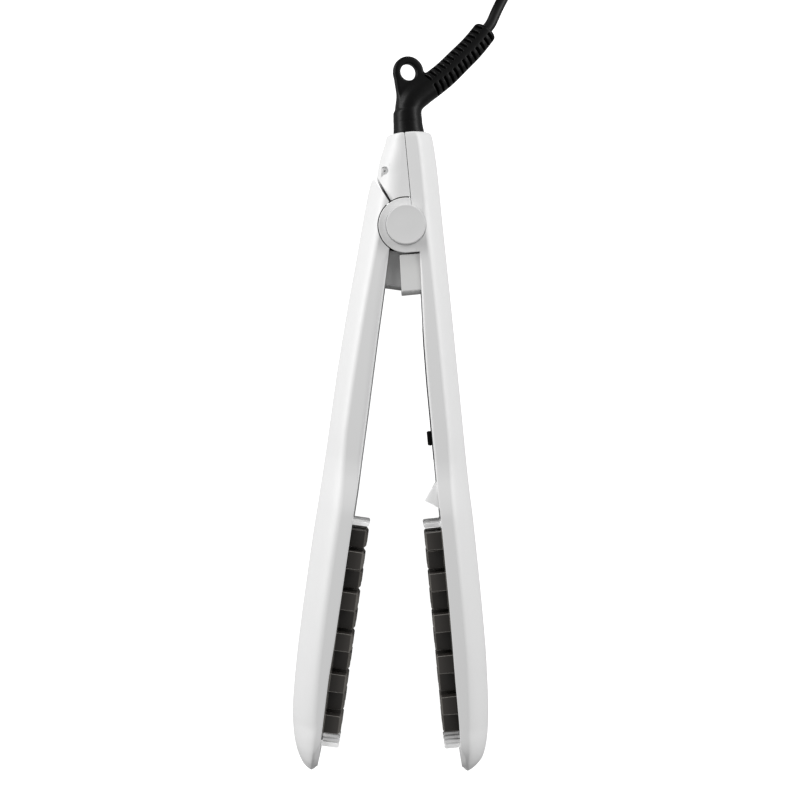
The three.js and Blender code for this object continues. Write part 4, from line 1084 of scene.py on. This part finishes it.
# Control strip with the slide switch.
rings = []
for s in (48, 48.3, 56, 66, 75, 84, 93, 94, 101, 108.4, 111.7, 112):
    e = 0.18 if s in (48, 112) else 0.0
    f0, f1 = lin(FIXED_IN, s) - 0.16, lin(FIXED_IN, s) + 0.22
    hz = 10 - e
    rings.append([(x, -s, z) for x, z in ((f1, hz), (f0 + 0.12, hz), (f0 + 0.04 + e * 0.3, hz - 0.06), (f0 + e * 0.6, hz - 0.2), (f0 + e * 0.6, 0.0),
                                          (f0 + e * 0.6, -hz + 0.2), (f0 + 0.04 + e * 0.3, -hz + 0.06), (f0 + 0.12, -hz), (f1, -hz), (f1, 0.0))])
strip = loft("strip", rings)
boolean(strip, box("slot", 0, 6, -108.4, -94.0, -3.2, 3.2))
# Three shallow marks beside the slot, one for each place of the switch.
for s in (98.2, 101.2, 104.2):
    boolean(strip, box("mark", 2.0, 2.92, -s - 0.25, -s + 0.25, 4.6, 7.2))
finish_piece(strip, "control_panel_strip", FIXED, "fixed_arm", DARK, "control_strip", angle=30)

nub_rings = []
SW = 101.2
for x, hs, hz in ((6.0, 3.4, 2.8), (2.05, 3.4, 2.8), (2.0, 3.55, 2.88), (1.9, 3.6, 2.9), (1.7, 3.6, 2.9), (1.6, 3.52, 2.86), (1.58, 3.36, 2.76),
                  (1.35, 3.34, 2.74), (1.1, 3.32, 2.73), (0.95, 3.28, 2.70), (0.82, 3.18, 2.62), (0.76, 3.02, 2.48)):
    ring = []
    rr = min(0.45, hs * 0.3)
    for cs, cz, a0 in ((hs - rr, hz - rr, 0), (-(hs - rr), hz - rr, 90), (-(hs - rr), -(hz - rr), 180), (hs - rr, -(hz - rr), 270)):
        for i in range(6):
            t = math.radians(a0 + i * 18)
            ring.append((x, -SW + cs + rr * math.cos(t), cz + rr * math.sin(t)))
    nub_rings.append(ring)
nub = loft("nub", nub_rings)
for k in range(-2, 3):
    groove = loft("ridge", [np.array([(0.2, -SW + k * 1.05 - 0.34, z), (0.2, -SW + k * 1.05 + 0.34, z), (1.05, -SW + k * 1.05 + 0.08, z), (1.05, -SW + k * 1.05 - 0.08, z)])
                            for z in (-2.0, 2.0)])
    boolean(nub, groove)
finish_piece(nub, "switch_nub", FIXED, "switch_slider", DARK, "slide_switch_cap", angle=30)


# ------------------------------------------------------------------ plates
def block_rings(s, z, base, top, rows):
    rings = []
    for x, inset, rc in rows:
        hs, hz = 4.3 - inset, 4.1 - inset
        ring = []
        for cs, cz, a0 in ((hs - rc, hz - rc, 0), (-(hs - rc), hz - rc, 90), (-(hs - rc), -(hz - rc), 180), (hs - rc, -(hz - rc), 270)):
            for i in range(6):
                t = math.radians(a0 + i * 18)
                ring.append((x, -s + cs + rc * math.cos(t), z + cz + rc * math.sin(t)))
        rings.append(ring)
    return rings


def grid_plate(name, base, recess, top, row1, parity, place, body, node, c):
    b, t = base + recess, top
    rows = [(b + 0.5, -0.15, 0.5), (b + 0.02, -0.15, 0.5), (b - 0.10, -0.09, 0.45), (b - 0.3, -0.02, 0.42), (b - 0.6, 0.0, 0.40),
            (t + c + 0.48, 0.10, 0.40), (t + c + 0.20, 0.11, 0.40), (t + c + 0.08, 0.15, 0.41), (t + c, 0.22, 0.42), (t + 0.24, c, 0.5),
            (t + 0.14, c + 0.12, 0.52), (t + 0.05, c + 0.26, 0.54), (t + 0.01, c + 0.40, 0.55), (t, c + 0.60, 0.55)]
    blocks = []
    for i in range(10):
        for j in range(4):
            if (i + j) % 2 != parity:
                continue
            blocks.append(loft(f"b{i}{j}", block_rings(row1 + i * 9.7, (1.5 - j) * 9.6, b, t, rows)))
    blocks = joined("blocks", blocks)
    plate = box(name, b, base + 3.2, -243.0, -144.0, -18.4, 18.4)
    bevel(plate, 0.4, 3, 60)
    boolean(plate, blocks, "UNION")
    finish_piece(plate, name, place, body, CERAMIC, node, angle=38, weighted=True)
    # The bevels and chamfers, the faces not square to the arm's axes, take a paler copy of the coating: a painted edge
    # highlight.
    plate.data.materials.append(CERAMIC_PAINTED_HIGHLIGHT)
    turn = np.array(place[0]).T
    for p in plate.data.polygons:
        if np.abs(turn @ np.array(p.normal)).max() < 0.985:
            p.material_index = 1


grid_plate("fixed_block_plate", 2.5, 0.6, -5.0, 149.0, 0, FIXED, "fixed_plate", "fixed_grid_plate", 0.6)
grid_plate("moving_block_plate", 5.5, 0.9, -1.9, 149.75, 1, MOVING, "moving_plate", "moving_grid_plate", 1.1)


def comb(name, base, top, s0, s1, first, place, body, node):
    bar = box(name, base + 0.4, base + 2.8, -(s1 + 0.5), -(s0 - 0.5), -18.2, 18.2)
    bevel(bar, 0.3, 3, 60)
    teeth = []
    for j in range(4):
        z = first - j * 9.6
        m = (s0 + s1) / 2
        prof = [(base + 1, s0), (top + 0.95, s0 + 0.04), (top + 0.5, s0 + 0.16), (top + 0.15, s0 + 0.42), (top, s0 + 0.75), (top, s1 - 0.75),
                (top + 0.15, s1 - 0.42), (top + 0.5, s1 - 0.16), (top + 0.95, s1 - 0.04), (base + 1, s1)]
        rings = []
        for zz, k in ((-1.95, 0.80), (-1.87, 0.93), (-1.65, 1.0), (1.65, 1.0), (1.87, 0.93), (1.95, 0.80)):
            rings.append([(base + 1 + (x - base - 1) * (1 - (1 - k) * 0.12), -(m + (s - m) * k), z + zz) for x, s in prof])
        teeth.append(loft(f"tooth{j}", rings))
    boolean(bar, joined("teeth", teeth), "UNION")
    finish_piece(bar, name, place, body, COMB_GREY, node, angle=35, weighted=True)


comb("fixed_comb_upper", 2.5, -5.0, 140.8, 142.8, 12.0, FIXED, "fixed_arm", "fixed_comb_top")
comb("fixed_comb_lower", 2.5, -5.0, 245.4, 247.4, 12.0, FIXED, "fixed_arm", "fixed_comb_end")
comb("moving_comb_upper", 5.5, -1.9, 140.8, 142.8, 16.8, MOVING, "moving_arm", "moving_comb_top")
comb("moving_comb_lower", 5.5, -1.9, 245.4, 247.4, 16.8, MOVING, "moving_arm", "moving_comb_end")

# ------------------------------------------------------------------ swivel boot
bp, boot_len = resample(boot_path_local, 0.25)
bd = np.gradient(bp, axis=0)
bd /= np.linalg.norm(bd, axis=1)[:, None]
bs = np.linspace(0, boot_len, len(bp))
SLOTS, SLOT_PITCH, SLOT_HALF, SLOT_DEPTH = 13, 3.15, 0.62, 2.3
slot_s = boot_len - 2.6 - SLOT_PITCH * np.arange(SLOTS)
SPINE_AT = math.radians(-8)


def boot_field(p):
    best = np.full(len(p), 1e18)
    k = np.zeros(len(p), dtype=np.int64)
    for i in range(0, len(bp), 3):
        d2 = ((p - bp[i]) ** 2).sum(1)
        m = d2 < best
        best[m], k[m] = d2[m], i
    rel = p - bp[k]
    along = (rel * bd[k]).sum(1)
    s = bs[k] + along
    nrm = np.stack([-bd[k][:, 1], bd[k][:, 0], np.zeros(len(k))], 1)       # towards the left side of the curve
    u = (rel * nrm).sum(1)
    v = rel[:, 2]
    r = np.hypot(u, v)
    t = np.clip(s / boot_len, 0, 1)
    radius = np.where(t < 0.25, 6.30 + (6.35 - 6.30) * t / 0.25, 6.35 + (5.85 - 6.35) * (t - 0.25) / 0.75)
    d = smax(r - radius, s - boot_len, 1.6)
    d = np.maximum(d, -1.0 - s)
    # Slots across the strain relief, between four spines along it.
    phi = np.arctan2(-u, v)                                               # 0 faces up, towards the camera
    dphi = np.abs((phi - SPINE_AT + math.pi / 4) % (math.pi / 2) - math.pi / 4)
    half = np.radians(10 + 8 * np.clip((s - slot_s[-1]) / (slot_s[0] - slot_s[-1]), 0, 1))
    spine = (half - dphi) * r
    near = np.abs(s[:, None] - slot_s[None, :]).min(1) - SLOT_HALF
    cut = smax(smax(near, spine, 0.2), (radius - SLOT_DEPTH) - r, 0.2)
    d = smax(d, -cut, 0.22)
    # Neck and collar, turned about the swivel axis.
    rad = np.hypot(p[:, 0], p[:, 2])
    y = p[:, 1]
    prof_r = np.interp(y, [0.3, 2.2, 3.8, 8.2, 11.0, 14], [7.45, 7.4, 7.2, 6.78, 6.5, 6.2])
    neck = smax(rad - prof_r, np.maximum(0.3 - y, y - 12.5), 1.2)
    d = smin(d, neck, 1.4)
    # Hanging loop: a flat tab with a round hole.
    px, py, pz = p[:, 0], p[:, 1], p[:, 2]
    ring2 = np.hypot(px - 2.6, py - 31.3) - 7.45
    left_edge = -3.6 - 1.2 * np.clip((py - 12.0) / 19.0, 0, 1)
    below = (9.0 * (px - 4.0) - 8.0 * (py - 13.0)) / 12.04                 # the web stops at the boot's own bend
    web = np.maximum.reduce([left_edge - px, px - 9.6, py - 31.1, 12.0 - py, below])
    hole = 4.0 - np.hypot(px - 2.4, py - 31.1)
    tab = smin(ring2, web, 0.6)
    tab = smax(tab, np.abs(pz) - 2.0, 1.5)
    d = smin(d, tab, 2.2)
    d = smax(d, hole, 1.1)
    # Inside the housing: waist, flange and stub.
    core = np.minimum.reduce([np.maximum(rad - 6.2, np.maximum(-3.0 - y, y - 1.0)), np.maximum(rad - 8.6, np.abs(y + 3.6) - 1.0),
                              np.maximum(rad - 5.4, np.maximum(-13.5 - y, y + 3.0))])
    return np.minimum(d, core)


boot = field_mesh("boot", boot_field, (-9.5, -14.5, -9.2), (50.5, 56.0, 9.2), 0.3)
finish_piece(boot, "swivel_boot_loop", BOOT, "swivel", BLACK_FLEX, "swivel_boot", angle=55)

# ------------------------------------------------------------------ floor and light
floor_mesh = bpy.data.meshes.new("floor")
floor_mesh.from_pydata([(-3, -3, 0), (3, -3, 0), (3, 3, 0), (-3, 3, 0)], [], [(0, 1, 2, 3)])
floor = bpy.data.objects.new("floor", floor_mesh)
scene.collection.objects.link(floor)
fm, fnt, fb = nodes_of("pale_floor")
fb.inputs["Base Color"].default_value = (0.50, 0.50, 0.50, 1)
fb.inputs["Roughness"].default_value = 0.9
fb.inputs["Emission Color"].default_value = (1, 1, 1, 1)
fb.inputs["Emission Strength"].default_value = 1.0
floor_mesh.materials.append(fm)
# The floor's own glow keeps it pale in the picture. It isn't a lamp, so it lights nothing else.
floor_only = bpy.data.collections.new("floor_only")
floor_only.objects.link(floor)
floor.light_linking.receiver_collection = floor_only

world = bpy.data.worlds.new("studio")
scene.world = world
world.use_nodes = True
bg = world.node_tree.nodes["Background"]
bg.inputs["Color"].default_value = (1, 1, 1, 1)
bg.inputs["Strength"].default_value = 0.295


GAP_PIECES = ("fixed_comb_upper", "fixed_comb_lower", "moving_comb_upper", "moving_comb_lower", "fixed_cover", "moving_cover",
              "fixed_guard", "moving_guard", "fixed_block_plate", "moving_block_plate")


def area(name, loc, target, size, power, size_y=None):
    l = bpy.data.lights.new(name, "AREA")
    l.energy = power
    l.size = size
    if size_y:
        l.shape = "RECTANGLE"
        l.size_y = size_y
    o = bpy.data.objects.new(name, l)
    scene.collection.objects.link(o)
    o.location = loc
    d = Vector(target) - Vector(loc)
    o.rotation_euler = d.to_track_quat("-Z", "Y").to_euler()
    return o


area("left_softbox", (-1.065, 0.497, 0.43), (0, 0, 0), 1.3, 14.8, 0.28)
area("right_softbox", (1.065, 0.497, 0.43), (0, 0, 0), 1.3, 12.2, 0.28)
# Two weak lamps fill the gap between the arms, where the arms keep the softboxes' light out.
between = bpy.data.collections.new("between_the_arms")
for name in GAP_PIECES:
    between.objects.link(bpy.data.objects[name])
for name, y, power in (("fill_rear", 1.1, 5.0), ("fill_front", -1.1, 4.0)):
    lamp = area(name, (0.0, y, 0.42), (0, 0, 0.02), 1.0, power, 0.3)
    lamp.light_linking.receiver_collection = between
scene.view_settings.view_transform = "Standard"
